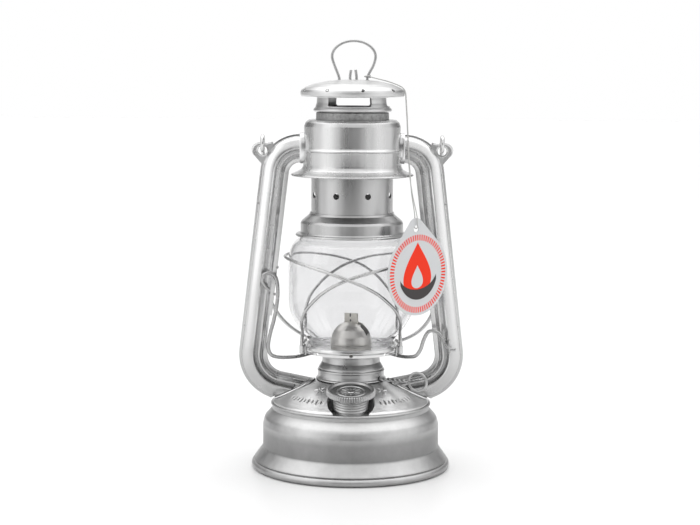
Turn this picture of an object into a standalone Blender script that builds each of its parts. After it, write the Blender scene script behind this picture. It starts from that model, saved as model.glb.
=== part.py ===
"""Barn lantern: a small galvanised hurricane lantern with a wick burner, built from its separate pieces.

Metres, +Z up. The origin is on the ground under the middle of the fuel tank; the filler cap faces -Y.
Lengths below are written in millimetres and multiplied by MM where they become coordinates.
"""

import math

import bmesh
import bpy
from mathutils import Matrix, Vector

MM = 0.001
GAP = 0.35                       # clearance between neighbouring pieces
SHEET = 0.6                      # thickness of the pressed sheet
FACETS = 24                      # sides of a large turned piece
SMALL_FACETS = 18                # sides of a small turned piece

# Fuel tank
BASE_RADIUS = 66.4
BEAD = 2.6                       # radius of the rolled rim that the lantern stands on
TANK_RADIUS = 58.9
NECK_RADIUS = 52.6
NECK_TOP = 43.9
CONE_EDGE = (51.6, 45.0)         # lower edge of the sloping tank top: radius, height
CONE_TOP = (23.0, 58.8)          # where that slope meets the burner seat
CONE_SLOPE = math.atan2(CONE_TOP[1] - CONE_EDGE[1], CONE_EDGE[0] - CONE_TOP[0])

# Filler: a well pressed into the front of the tank top, with the cap leaning forward in it
WELL_CENTRE = -40.2
WELL_RADIUS = 15.4
WELL_FLOOR = 42.6
CAP_TILT = math.radians(10.5)
CAP_TOP = Vector((0.0, -40.2, 59.2))
CAP_AXIS = Vector((0.0, -math.sin(CAP_TILT), math.cos(CAP_TILT)))
CAP_RADIUS = 16.1
CAP_SKIRT = 11.2
CAP_DEPTH = 13.2
THREADS = 3

# Burner
BURNER_RADIUS = 22.3
SHAFT_ANGLE = math.radians(-22.0)   # direction of the wick knob, seen from above
SHAFT_HEIGHT = 60.9
SHAFT_OFFSET = 4.1                  # the knob's shaft runs this far in front of the wick
SHAFT_DIR = Vector((math.cos(SHAFT_ANGLE), math.sin(SHAFT_ANGLE), 0.0))
SHAFT_SIDE = Vector((math.sin(SHAFT_ANGLE), -math.cos(SHAFT_ANGLE), 0.0))
KNOB_REACH = 49.0
KNOB_RADIUS = 6.2
WICK_TOP = 103.5

# Globe
PLATE_RADIUS = 32.2
PLATE_TOP = 83.1
GLASS = 1.6
GLOBE_LINE = [(27.3, 82.0), (28.2, 85.5), (32.8, 90.2), (37.2, 96.8), (40.6, 107.0), (41.9, 118.0),
              (41.9, 140.0), (40.6, 147.6), (37.0, 152.4), (33.0, 155.6), (32.3, 162.0)]
GUARD_WIRE = 0.9
GUARD_CLEARANCE = 0.5

# Chimney and hood
BELL_RADIUS = 34.0
CHIMNEY_RADIUS = 27.1
STEM_RADIUS = 20.8
VENT_HEIGHT = 183.3
HOOD_RADIUS = 32.6
LIP_RADIUS = 40.0
LIP_HEIGHT = 196.3
HOOD_TOP = 232.6
CAP_RIM = 34.0
CAP_CROWN = 259.0

# Side tubes: each follows a centre line in the XZ plane and is pressed from a front and a back half
TUBE_WIDTH = 18.9
TUBE_START = (34.7, 213.6)
LEG_TOP_X = 49.7                 # the leg's centre line crosses the top arm's height here
LEG_SLANT = math.radians(6.65)
TOP_BEND = 17.0
LOW_BEND = 21.6
ARM_DROP = math.radians(11.7)    # the lower arm falls towards the tank
LOW_CORNER = (67.8, 58.4)
# One half's cross-section: distance from the outer edge and height off the seam, outside then inside
TUBE_OUTSIDE = [(0.0, 0.8), (1.7, 0.8), (3.0, 5.2), (5.6, 6.6), (8.4, 5.6), (10.7, 2.2), (11.6, 3.6),
                (13.0, 4.4), (14.8, 3.6), (16.4, 0.8), (18.9, 0.8)]
TUBE_INSIDE = [(18.9, 0.2), (16.0, 0.2), (14.4, 3.0), (13.0, 3.8), (12.1, 3.2), (10.7, 1.2), (8.0, 5.0),
               (5.6, 6.0), (3.5, 4.8), (2.2, 0.2), (0.0, 0.2)]

# Bail and its ears
EAR_HOLE = (59.4, 212.0)
EAR_HOLE_RADIUS = 3.2
EAR_SHEET = 0.55
BAIL_PIVOT = 216.6
BAIL_HOOK = 4.7                  # radius of the hook round the ear's upper edge
BAIL_WIRE = 1.15
BAIL_TILT = math.radians(13.0)   # it hangs this far behind the vertical
BAIL_LEG = 89.0
BAIL_BOW = 56.0

# Globe lift
LEVER_WIRE = 1.15
LEVER_PIVOT = (65.2, -10.3, 81.2)
LEVER_LEFT = [(-54.7, -8.4, 120.2), (-57.0, -8.5, 122.4), (-58.8, -8.6, 125.4), (-58.7, -8.7, 128.6),
              (-57.0, -8.7, 130.6), (-53.9, -8.7, 131.2), (-50.6, -8.7, 128.8), (-49.1, -8.7, 123.6),
              (-48.9, -8.6, 115.6), (-49.9, -8.5, 107.4), (-51.5, -8.3, 99.6), (-53.6, -8.2, 91.6),
              (-55.0, -8.1, 84.6), (-54.9, -8.0, 79.4), (-53.0, -7.2, 76.0), (-49.2, -5.4, 74.4)]
LEVER_UNDER = [(-43.0, -2.0, 73.4), (-35.0, 3.6, 73.4), (-28.0, 11.2, 74.0), (-20.5, 18.8, 75.2),
               (-10.0, 24.8, 76.0), (0.0, 26.4, 76.1), (10.0, 24.8, 76.0), (20.5, 18.6, 75.2),
               (27.5, 9.5, 74.3), (34.0, 0.0, 74.3), (39.0, -5.6, 75.0)]
LEVER_RIGHT = [(43.2, -8.0, 76.2), (46.2, -8.8, 80.6), (48.2, -9.2, 87.0), (50.9, -9.4, 92.2),
               (54.8, -9.6, 93.4), (58.8, -9.8, 91.0), (61.4, -10.0, 86.6), (63.0, -10.3, 82.8),
               (65.4, -10.3, 81.2), (69.2, -10.3, 81.0)]

# Carrying ring on the cap
RING_WIRE = 0.7
RING_CENTRE_X = 0.3
RING_HALF_WIDTH = 14.2
RING_WIDEST = 272.6
RING_TOP = 283.6

# Hang tag on a doubled string
TAG_TURN = math.radians(43.0)    # it faces left of the front, lying between the globe and the side tube
TAG_HOLE = Vector((41.6, -28.0, 163.0))
TAG_RADIUS = 27.4
TAG_DROP = 29.6                  # from the hole to the middle of the round part
TAG_TIP = 7.0
TAG_SHEET = 0.5
TAG_LEAN = math.radians(4.0)
STRING_WIRE = 0.35
STRING_ROUTE = [(12.0, -0.9, 260.6), (16.0, -2.0, 259.6), (22.0, -3.4, 258.2), (28.0, -4.8, 256.2),
                (32.4, -5.9, 254.1), (34.4, -6.4, 251.4), (34.9, -6.9, 248.2), (35.2, -7.8, 243.0),
                (35.8, -9.8, 233.0), (36.4, -12.0, 220.0), (37.0, -14.2, 208.0), (37.7, -16.2, 197.4),
                (38.9, -20.9, 186.0), (40.6, -25.4, 176.5), (41.5, -27.7, 171.0),
                (41.6, -28.0, 167.0)]
STRING_SPREAD = 0.55             # half the distance between the two strands on the cap
STRING_TURN = 1.4                # radius of the loop through the tag's hole


# ---------------------------------------------------------------- geometry helpers

def blend_points(points, steps):
    """Points along a smooth curve (Catmull-Rom) through the given points, ends included."""
    path = [Vector(p) for p in points]
    path = [path[0] * 2 - path[1]] + path + [path[-1] * 2 - path[-2]]
    out = []
    for i in range(1, len(path) - 2):
        a, b, c, d = path[i - 1:i + 3]
        for k in range(steps):
            t = k / steps
            out.append(0.5 * ((2 * b) + (c - a) * t + (2 * a - 5 * b + 4 * c - d) * t * t
                              + (3 * b - a - 3 * c + d) * t ** 3))
    out.append(path[-2])
    return out


def offset_line(line, distance):
    """A (radius, height) line moved sideways by a distance, to the left of its direction."""
    moved = []
    for i, point in enumerate(line):
        normals = []
        for j in (i - 1, i):
            if 0 <= j < len(line) - 1:
                d = (Vector(line[j + 1]) - Vector(line[j])).normalized()
                normals.append(Vector((-d.y, d.x)))
        n = sum(normals, Vector((0.0, 0.0))).normalized()
        stretch = 1.0 / max(0.5, n.dot(normals[0]))
        moved.append((point[0] + n.x * distance * stretch, point[1] + n.y * distance * stretch))
    return moved


def arc(centre, radius, start, end, steps):
    """Points of an arc in (radius, height); angles in degrees."""
    angles = [math.radians(start + (end - start) * i / steps) for i in range(steps + 1)]
    return [(centre[0] + radius * math.cos(a), centre[1] + radius * math.sin(a)) for a in angles]


def finish(bm, name, color, metallic, roughness, alpha=1.0):
    """Turns a bmesh in millimetres into a named object with a material of its own."""
    bmesh.ops.scale(bm, vec=(MM, MM, MM), verts=bm.verts)
    bmesh.ops.recalc_face_normals(bm, faces=bm.faces)
    mesh = bpy.data.meshes.new(name)
    bm.to_mesh(mesh)
    bm.free()
    mesh.shade_smooth()
    mesh.set_sharp_from_angle(angle=math.radians(35))
    material = bpy.data.materials.new(name)
    material.use_nodes = True
    shader = material.node_tree.nodes["Principled BSDF"]
    shader.inputs["Base Color"].default_value = (*color, 1.0)
    shader.inputs["Metallic"].default_value = metallic
    shader.inputs["Roughness"].default_value = roughness
    shader.inputs["Alpha"].default_value = alpha
    mesh.materials.append(material)
    obj = bpy.data.objects.new(name, mesh)
    bpy.context.scene.collection.objects.link(obj)
    return obj


def tin(bm, name, shade=0.62, roughness=0.34):
    """Finishes a piece of tinned or galvanised steel."""
    return finish(bm, name, (shade, shade, shade * 1.01), 1.0, roughness)


def turned(profile, facets=FACETS, closed=True):
    """Spins a (radius, height) outline about the Z axis."""
    bm = bmesh.new()
    verts = [bm.verts.new((r, 0.0, z)) for r, z in profile]
    edges = [bm.edges.new(pair) for pair in zip(verts, verts[1:])]
    if closed:
        edges.append(bm.edges.new((verts[-1], verts[0])))
    bmesh.ops.spin(bm, geom=verts + edges, cent=(0, 0, 0), axis=(0, 0, 1), angle=math.tau,
                   steps=facets, use_merge=True)
    bmesh.ops.remove_doubles(bm, verts=bm.verts, dist=1e-4)
    return bm


def sheet_ring(line, thickness=SHEET, facets=FACETS):
    """A pressed ring: the line is its outer side, running upwards, and its thickness goes inwards."""
    return turned(line + offset_line(line, thickness)[::-1], facets)


def domed_shell(line, facets=FACETS):
    """A pressed dome: the line is its outer side, running from the rim up to the axis."""
    inner = offset_line(line, SHEET)[:-1] + [(0.0, line[-1][1] - SHEET)]
    return turned(inner[::-1] + line, facets, closed=False)


def lofted(rings):
    """A closed body through rings of points that all have the same count, capped at both ends."""
    bm = bmesh.new()
    loops = [[bm.verts.new(p) for p in ring] for ring in rings]
    count = len(loops[0])
    for low, high in zip(loops, loops[1:]):
        for i in range(count):
            j = (i + 1) % count
            bm.faces.new((low[i], low[j], high[j], high[i]))
    bm.faces.new(loops[0])
    bm.faces.new(loops[-1])
    return bm


def wire_body(path, radius, sides=6, closed=False):
    """A round wire along a path, its cross-section carried along without twisting."""
    count = len(path)
    rings = []
    side = None
    for i, point in enumerate(path):
        ahead = path[(i + 1) % count] if closed or i + 1 < count else path[i]
        behind = path[i - 1] if closed or i else path[i]
        d = (ahead - behind).normalized()
        if side is None:
            side = d.orthogonal().normalized()
        side = (side - d * side.dot(d)).normalized()
        up = d.cross(side)
        r = radius[i] if isinstance(radius, list) else radius
        ring = []
        for k in range(sides):
            a = math.tau * k / sides
            ring.append(point + r * (side * math.cos(a) + up * math.sin(a)))
        rings.append(ring)
    return lofted(rings)


def rod(start, end, radius, sides=12):
    return wire_body([Vector(start), Vector(end)], radius, sides)


def box_body(low, high):
    bm = bmesh.new()
    bmesh.ops.create_cube(bm, size=1.0)
    size = Vector(high) - Vector(low)
    bmesh.ops.scale(bm, vec=size, verts=bm.verts)
    bmesh.ops.translate(bm, vec=(Vector(high) + Vector(low)) / 2, verts=bm.verts)
    return bm


def plate_body(outline, thickness):
    """A flat plate: an outline in (x, y) with its thickness along +Z."""
    return lofted([[Vector((x, y, z)) for x, y in outline] for z in (0.0, thickness)])


def ring_plate(outer, inner, thickness):
    """A flat plate with an opening: two outlines of the same count in (x, y)."""
    bm = bmesh.new()
    loops = []
    for z, outline in ((0, outer), (thickness, outer), (thickness, inner), (0, inner)):
        loops.append([bm.verts.new((x, y, z)) for x, y in outline])
    count = len(outer)
    for a, b in zip(loops, loops[1:] + loops[:1]):
        for i in range(count):
            j = (i + 1) % count
            bm.faces.new((a[i], a[j], b[j], b[i]))
    return bm


def oval(half_x, half_y, steps=20, power=2.4):
    """An oval outline, a little squarer than an ellipse."""
    out = []
    for i in range(steps):
        c, s = math.cos(math.tau * i / steps), math.sin(math.tau * i / steps)
        x = half_x * math.copysign(abs(c) ** (2 / power), c)
        y = half_y * math.copysign(abs(s) ** (2 / power), s)
        out.append((x, y))
    return out


def place(bm, matrix):
    bmesh.ops.transform(bm, matrix=matrix, verts=bm.verts)
    return bm


def joined(bodies):
    """Several separate bodies in one bmesh, for use as one cutter."""
    whole = bmesh.new()
    for bm in bodies:
        mesh = bpy.data.meshes.new("part")
        bm.to_mesh(mesh)
        bm.free()
        whole.from_mesh(mesh)
        bpy.data.meshes.remove(mesh)
    return whole


def apply_boolean(obj, tool, operation):
    """Adds an exact Boolean with a hidden tool object."""
    tool.hide_render = True
    tool.display_type = "WIRE"
    change = obj.modifiers.new(operation.title(), "BOOLEAN")
    change.operation = operation
    change.solver = "EXACT"
    change.object = tool


def cut(obj, bm, name):
    apply_boolean(obj, tin(bm, "cutter_" + name), "DIFFERENCE")


def cap_frame():
    """The filler cap's own frame: its Z axis is the cap's axis, its origin is in the rim's top plane."""
    return Matrix.Translation(CAP_TOP) @ Matrix.Rotation(CAP_TILT, 4, "X")


def shaft_frame():
    """The wick knob's own frame: Z along the shaft outwards, X upwards."""
    z = SHAFT_DIR
    x = Vector((0, 0, 1))
    y = z.cross(x)
    turn = Matrix((x, y, z)).transposed().to_4x4()
    return Matrix.Translation(SHAFT_SIDE * SHAFT_OFFSET + Vector((0, 0, SHAFT_HEIGHT))) @ turn


# ---------------------------------------------------------------- fuel tank

def make_tank():
    bead_centre = (BASE_RADIUS - BEAD, BEAD)
    line = [(bead_centre[0] - 1.2, 0.0), (bead_centre[0] + 0.8, 0.0)]
    line += arc(bead_centre, BEAD, -45, 60, 3)
    line += [(61.4, 8.4), (TANK_RADIUS, 13.6), (TANK_RADIUS, 28.0)]
    line += [(57.6, 33.2), (NECK_RADIUS, 38.8), (NECK_RADIUS, NECK_TOP)]
    tin(sheet_ring(line), "tank_body", 0.5, 0.42)

    base = [(0.0, 10.4), (50.0, 10.4), (52.0, 8.8), (57.6, 8.8),
            (57.6, 8.2), (51.6, 8.2), (49.6, 9.8), (0.0, 9.8)]
    tin(turned(base, closed=False), "tank_bottom", 0.5, 0.45)

    top = sheet_ring([(51.8, 44.3), CONE_EDGE, CONE_TOP])
    tank_top = tin(top, "tank_top", 0.66, 0.26)
    well_hole = rod((0, WELL_CENTRE, WELL_FLOOR - 4), (0, WELL_CENTRE, 70), WELL_RADIUS + GAP, 28)
    cut(tank_top, well_hole, "well_hole")

    inner = WELL_RADIUS - SHEET
    cup = [(0.0, WELL_FLOOR), (WELL_RADIUS, WELL_FLOOR), (WELL_RADIUS, 64.0), (inner, 64.0),
           (inner, WELL_FLOOR + SHEET), (0.0, WELL_FLOOR + SHEET)]
    well = turned(cup, 28, closed=False)
    bmesh.ops.translate(well, vec=(0, WELL_CENTRE, 0), verts=well.verts)
    well = tin(well, "filler_well", 0.4, 0.5)
    below_cone = turned([(0.0, 30.0), (51.2, 30.0), (51.2, CONE_EDGE[1]), (CONE_TOP[0], CONE_TOP[1] - 0.2),
                         (22.6, CONE_TOP[1] - 0.2), (0.0, CONE_TOP[1] - 0.2)], closed=False)
    apply_boolean(well, tin(below_cone, "guide_below_cone"), "INTERSECT")
    neck_hole = place(rod((0, 0, -26), (0, 0, -10), 10.6, SMALL_FACETS), cap_frame())
    cut(well, neck_hole, "neck_hole")


def make_filler():
    neck = [(10.0, -18.0), (10.0, -3.6), (9.0, -3.6), (9.0, -18.0)]
    tin(place(turned(neck, SMALL_FACETS), cap_frame()), "filler_neck", 0.5, 0.4)
    gasket = [(10.2, -3.2), (10.2, -2.7), (7.0, -2.7), (7.0, -3.2)]
    finish(place(turned(gasket, SMALL_FACETS), cap_frame()), "filler_gasket", (0.03, 0.03, 0.03), 0.0, 0.7)

    outline = [(0.0, -1.3), (12.4, -1.3), (13.3, 0.0), (15.3, 0.0), (CAP_RADIUS, -0.6), (CAP_RADIUS, -3.2),
               (15.5, -3.5), (CAP_SKIRT, -3.9)]
    pitch = (CAP_DEPTH - 4.6) / THREADS
    for turn in range(THREADS):
        top = -4.6 - turn * pitch
        outline += [(CAP_SKIRT, top), (CAP_SKIRT + 0.4, top - pitch / 2)]
    outline += [(CAP_SKIRT, -CAP_DEPTH), (CAP_SKIRT - 0.6, -CAP_DEPTH)]
    outline += [(CAP_SKIRT - 0.6, -2.3), (0.0, -2.3)]
    tin(place(turned(outline, FACETS, closed=False), cap_frame()), "filler_cap", 0.42, 0.38)


# ---------------------------------------------------------------- burner

def make_burner():
    seat = sheet_ring([(23.3, 60.0), (23.2, 60.5), (BURNER_RADIUS, 60.9), (BURNER_RADIUS, 66.3)], 0.8)
    collar = tin(seat, "burner_collar", 0.42, 0.36)
    cut(collar, place(rod((0, 0, 12), (0, 0, 30), 2.0), shaft_frame()), "shaft_hole")

    cone = [(21.3, 66.8), (21.1, 67.8), (19.5, 71.4), (19.2, 74.6), (20.0, 77.2)]
    tin(sheet_ring(cone), "burner_cone", 0.5, 0.3)

    disc = turned([(17.8, 73.4), (17.8, 74.1), (14.0, 74.1), (14.0, 73.4)])
    disc = tin(disc, "air_distributor", 0.6, 0.3)
    slots = []
    for i in range(8):
        a = math.tau * i / 8
        d = Vector((math.cos(a), math.sin(a), 0.0)) * 15.9
        slots.append(rod(d + Vector((0, 0, 72)), d + Vector((0, 0, 76)), 1.0, 6))
    cut(disc, joined(slots), "distributor_holes")

    turn = Matrix.Rotation(SHAFT_ANGLE, 4, "Z")
    outer = [(-6.5, -2.0), (6.5, -2.0), (6.5, 2.0), (-6.5, 2.0)]
    inner = [(-5.9, -1.4), (5.9, -1.4), (5.9, 1.4), (-5.9, 1.4)]
    tube = ring_plate(outer, inner, 46.0)
    bmesh.ops.translate(tube, vec=(0, 0, 50.4), verts=tube.verts)
    tube = finish(place(tube, turn), "wick_tube", (0.65, 0.62, 0.55), 1.0, 0.35)
    window = place(box_body((-4.6, -5.0, 57.2), (4.6, 0.0, 64.6)), turn)
    cut(tube, window, "wheel_window")

    wick = place(box_body((-4.8, -0.8, 30.0), (4.8, 0.8, WICK_TOP)), turn)
    finish(wick, "wick", (0.78, 0.74, 0.66), 0.0, 0.9)

    dome = [(13.4, 74.9), (13.2, 80.4), (13.2, 84.6), (12.0, 89.0), (9.0, 93.0), (5.0, 95.6), (0.0, 96.4)]
    dome = tin(domed_shell(dome, SMALL_FACETS), "burner_dome", 0.5, 0.4)
    slot = place(box_body((-10.6, -2.5, 85.4), (10.6, 2.5, 100.0)), turn)
    cut(dome, slot, "flame_slot")


def make_wick_knob():
    """The twisted wire handle with its ring, and the toothed wheels that drive the wick."""
    path = [Vector((0, 0, d)) for d in (4.0, 22.0, KNOB_REACH - KNOB_RADIUS - 4.0)]
    ring = []
    for i in range(17):
        a = math.radians(-160 + 320 * i / 16)
        ring.append(Vector((KNOB_RADIUS * math.sin(a), 0.0, KNOB_REACH + KNOB_RADIUS * math.cos(a))))
    path += [Vector((-1.2, 0, KNOB_REACH - KNOB_RADIUS - 0.9))] + ring
    radius = [1.1, 1.1, 1.1, 0.85] + [0.75] * len(ring)
    finish(place(wire_body(path, radius), shaft_frame()), "wick_knob", (0.6, 0.6, 0.6), 1.0, 0.25)

    teeth = 10
    star = []
    for i in range(teeth * 2):
        a = math.tau * i / (teeth * 2)
        r = 3.0 if i % 2 == 0 else 2.2
        star.append((r * math.cos(a), r * math.sin(a)))
    hub = [(1.2 * x / math.hypot(x, y), 1.2 * y / math.hypot(x, y)) for x, y in star]
    rings = []
    for outline, z in ((star, -3.4), (star, -2.2), (hub, -2.2), (hub, 2.2), (star, 2.2), (star, 3.4)):
        rings.append([Vector((x, y, z)) for x, y in outline])
    finish(place(lofted(rings), shaft_frame()), "spur_wheels", (0.72, 0.6, 0.3), 1.0, 0.35)


# ---------------------------------------------------------------- globe and its carriage

def globe_radius(height):
    """The outer radius of the glass at a height."""
    for (r0, z0), (r1, z1) in zip(GLOBE_LINE, GLOBE_LINE[1:]):
        if z0 <= height <= z1:
            return r0 + (r1 - r0) * (height - z0) / (z1 - z0)
    return GLOBE_LINE[0][0]


def guard_path(side):
    """One guard loop: up from its clip, round the globe and down again. side is +1 for the right clip."""
    half = [(16, 79.0), (18, 82.0), (22, 86.5), (31, 92.0), (40, 98.0), (48.5, 106.0), (56.5, 113.5),
            (66, 120.8), (79, 127.0), (90, 131.0), (100, 133.6), (110, 135.7), (120, 137.2), (130, 138.6),
            (140, 139.6), (150, 140.4), (160, 141.0), (170, 141.4), (180, 141.6)]
    whole = [(-a, z) for a, z in half] + half[-2::-1]
    points = []
    for angle, z in whole:
        r = max(globe_radius(z) + GUARD_WIRE + GUARD_CLEARANCE, PLATE_RADIUS + 2.3)
        if side > 0:
            r += 2.4 * math.exp(-((abs(angle) - 90.0) / 16.0) ** 2)
        a = math.radians(angle)
        points.append((side * r * math.cos(a), r * math.sin(a), z))
    return [Vector(p) for p in points]


def make_globe():
    line = [(15.0, 80.4), (24.2, 80.4), (25.0, 82.0), (26.2, 81.2), (28.9, 81.2), (30.4, PLATE_TOP),
            (PLATE_RADIUS, 82.4), (PLATE_RADIUS, 78.2)]
    under = offset_line(line, -SHEET)
    tin(turned(line + under[::-1]), "globe_plate", 0.6, 0.28)

    glass = turned(GLOBE_LINE + offset_line(GLOBE_LINE, GLASS)[::-1])
    finish(glass, "globe", (0.9, 0.93, 0.92), 0.0, 0.03, 0.25)

    for side, name in ((-1, "left"), (1, "right")):
        tin(wire_body(guard_path(side), GUARD_WIRE), "guard_wire_" + name, 0.4, 0.3)
        strip = []
        for z in (77.2, 84.4):
            outer = [(33.1, a) for a in range(-24, 25, 8)]
            inner = [(32.55, a) for a in range(24, -25, -8)]
            strip.append([Vector((side * r * math.cos(math.radians(a)), r * math.sin(math.radians(a)), z))
                          for r, a in outer + inner])
        tin(lofted(strip), "guard_clip_" + name, 0.5, 0.3)


# ---------------------------------------------------------------- chimney, crown and cap

def make_chimney():
    bell = [(37.3, 156.2), (37.1, 157.2), (BELL_RADIUS, 157.9), (BELL_RADIUS, 164.4), (32.6, 166.4),
            (28.3, 169.8), (28.3, 171.4)]
    tin(sheet_ring(bell), "chimney_bell", 0.45, 0.32)

    tube = [(CHIMNEY_RADIUS, 167.5), (CHIMNEY_RADIUS, 201.4), (26.2, 202.8), (STEM_RADIUS + 0.8, 204.2),
            (STEM_RADIUS, 205.2), (STEM_RADIUS, 237.5)]
    tube = tin(sheet_ring(tube), "inner_chimney", 0.45, 0.3)
    holes = []
    for i in range(8):
        a = math.radians(22.5 + 45 * i)
        d = Vector((math.cos(a), math.sin(a), 0.0))
        z = Vector((0, 0, VENT_HEIGHT))
        holes.append(rod(d * 24.0 + z, d * 30.0 + z, 1.95, 10))
    cut(tube, joined(holes), "vent_holes")

    crown = [(21.2, 238.0), (25.0, 238.0), (25.2, 239.3), (23.2, 240.4), (22.8, 241.0), (22.8, 247.0),
             (23.6, 247.8)]
    crown = tin(sheet_ring(crown), "crown", 0.6, 0.28)
    windows = []
    for start, end in ((-45, 35), (60, 120), (135, 215), (240, 300)):
        sector = []
        for z in (241.3, 246.9):
            ring = [(30.0, start + (end - start) * k / 6) for k in range(7)]
            ring += [(17.0, start + (end - start) * k / 6) for k in range(6, -1, -1)]
            sector.append([Vector((r * math.sin(math.radians(a)), -r * math.cos(math.radians(a)), z))
                           for r, a in ring])
        windows.append(lofted(sector))
    cut(crown, joined(windows), "crown_windows")

    base = [(31.8, 248.8), (31.8, 249.5), (16.0, 249.5), (16.0, 248.8)]
    tin(turned(base), "cap_base", 0.6, 0.35)

    line = [(33.2, 248.4), (CAP_RIM, 249.4), (CAP_RIM, 251.0), (28.0, 255.2), (20.0, 257.2), (11.0, 258.5),
            (0.0, CAP_CROWN)]
    cap = tin(domed_shell(line), "cap", 0.72, 0.24)
    holes = []
    for i in range(9):
        a = math.radians(-70 + 40 * i)
        d = Vector((math.sin(a), -math.cos(a), 0.0))
        holes.append(rod(d * 29.0 + Vector((0, 0, 248.0)), d * 35.0 + Vector((0, 0, 254.0)), 1.0, 6))
    for x in ring_feet():
        holes.append(rod((x, 0, 254.0), (x, 0, 262.0), RING_WIRE + 0.6, 8))
    cut(cap, joined(holes), "cap_holes")


def ring_feet():
    """Where the carrying ring's wire goes through the cap: the two tips, then the two sides of the ring."""
    return (-1.7, 2.2, -8.7, 9.5)


def make_top_ring():
    """One wire: tip, under the cap, up and round the egg-shaped ring, under the cap again, tip."""
    under = 256.0
    left_tip, right_tip, left_foot, right_foot = ring_feet()
    points = [(left_tip - 0.4, 0, 265.0), (left_tip, 0, 261.0), (left_tip, 0, 257.4)]
    points += [(left_tip - 1.2, 0, under), (left_foot + 1.2, 0, under)]
    points += [(left_foot, 0, 257.4), (left_foot - 0.2, 0, 260.5)]
    for i in range(9):
        a = math.radians(200 - 220 * i / 8)
        height = (RING_TOP - RING_WIDEST) if math.sin(a) > 0 else 12.0
        across = RING_CENTRE_X + RING_HALF_WIDTH * math.cos(a)
        points.append((across, 0, RING_WIDEST + height * math.sin(a)))
    points += [(right_foot + 0.2, 0, 260.5), (right_foot, 0, 257.4), (right_foot - 1.2, 0, under)]
    points += [(right_tip + 1.2, 0, under), (right_tip, 0, 257.4)]
    points += [(right_tip, 0, 261.0), (right_tip - 0.3, 0, 265.2)]
    finish(wire_body(blend_points(points, 2), RING_WIRE), "top_ring", (0.6, 0.6, 0.6), 1.0, 0.22)


def make_hood():
    line = [(LIP_RADIUS, LIP_HEIGHT), (35.8, 198.9), (HOOD_RADIUS, 201.4), (HOOD_RADIUS, 211.2)]
    line += [(33.1, 212.3), (31.9, 213.6), (31.9, 228.4), (30.9, 231.2), (28.4, HOOD_TOP), (24.4, HOOD_TOP)]
    hood = tin(sheet_ring(line), "hood", 0.55, 0.3)
    ports = [rod((side * 28.0, 0, 213.6), (side * 36.0, 0, 213.6), 5.4) for side in (-1, 1)]
    cut(hood, joined(ports), "hood_ports")
    neck = [(24.0, 231.4), (24.0, 237.3), (21.4, 237.3), (21.4, 231.4)]
    tin(turned(neck), "hood_neck", 0.35, 0.6)

    coil = []
    turns, steps = 3, 12
    bottom, top = 206.6, 230.4
    for i in range(turns * steps + 1):
        a = math.tau * i / steps
        height = bottom + (top - bottom) * i / (turns * steps)
        coil.append(Vector((24.3 * math.cos(a), 24.3 * math.sin(a), height)))
    finish(wire_body(coil, 0.7, 5), "chimney_spring", (0.4, 0.4, 0.4), 1.0, 0.3)


# ---------------------------------------------------------------- side tubes

def tube_frames():
    """Points of the right tube's centre line with the inward direction there, both in the XZ plane."""
    frames = []
    leg = Vector((math.sin(LEG_SLANT), 0, -math.cos(LEG_SLANT)))
    corner = Vector((LEG_TOP_X, 0, TUBE_START[1]))
    bend = math.radians(90) - LEG_SLANT
    back = TOP_BEND * math.tan(bend / 2)
    centre = corner + Vector((-back, 0, -TOP_BEND))
    frames.append((Vector((TUBE_START[0], 0, TUBE_START[1])), Vector((0, 0, -1))))
    for i in range(6):
        a = bend * i / 5
        out = Vector((math.sin(a), 0, math.cos(a)))
        if i or centre.x > TUBE_START[0] + 0.3:
            frames.append((centre + out * TOP_BEND, -out))
    arm = Vector((-math.cos(ARM_DROP), 0, -math.sin(ARM_DROP)))
    low = Vector((LOW_CORNER[0], 0, LOW_CORNER[1]))
    turn = leg.angle(arm)
    back = LOW_BEND * math.tan(turn / 2)
    start = low - leg * back
    inward = Vector((-leg.z, 0, leg.x)) * -1
    centre = start + inward * LOW_BEND
    for i in range(7):
        out = Matrix.Rotation(turn * i / 6, 3, "Y") @ -inward
        frames.append((centre + out * LOW_BEND, -out))
    return frames, arm


def tube_half(mirror_x, face):
    """One half shell of a side tube. face is -1 for the front half and +1 for the back half."""
    section = TUBE_OUTSIDE + TUBE_INSIDE
    frames, arm = tube_frames()
    rings = []
    for point, inward in frames:
        edge = point - inward * (TUBE_WIDTH / 2)
        rings.append([edge + inward * w + Vector((0, face * h, 0)) for w, h in section])
    normal = Vector((math.sin(CONE_SLOPE), 0, math.cos(CONE_SLOPE)))
    foot = Vector((CONE_EDGE[0], 0, CONE_EDGE[1])) + normal * 1.7
    reach = [(foot - p).dot(normal) / arm.dot(normal) for p in rings[-1]]
    rings.append([p + arm * r for p, r in zip(rings[-1], reach)])
    rings[-2] = [p + arm * min(0.0, r - 0.4) for p, r in zip(rings[-2], reach)]
    return lofted([[Vector((mirror_x * p.x, p.y, p.z)) for p in ring] for ring in rings])


def ear_body(mirror_x, face):
    """The triangular lug of a seam flange that carries the bail, without its hole."""
    x, z = EAR_HOLE
    outline = []
    for i in range(8):
        a = math.radians(-50 + 170 * i / 7)
        outline.append((x + 1.2 + 5.6 * math.cos(a), z + 5.2 * math.sin(a)))
    outline += [(x - 6.8, z + 5.6), (x - 7.6, z + 1.6), (x - 0.6, z - 10.4)]
    y0, y1 = sorted((face * 0.26, face * (0.26 + EAR_SHEET)))
    rings = [[Vector((mirror_x * px, y, pz)) for px, pz in outline] for y in (y0, y1)]
    return lofted(rings)


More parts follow.
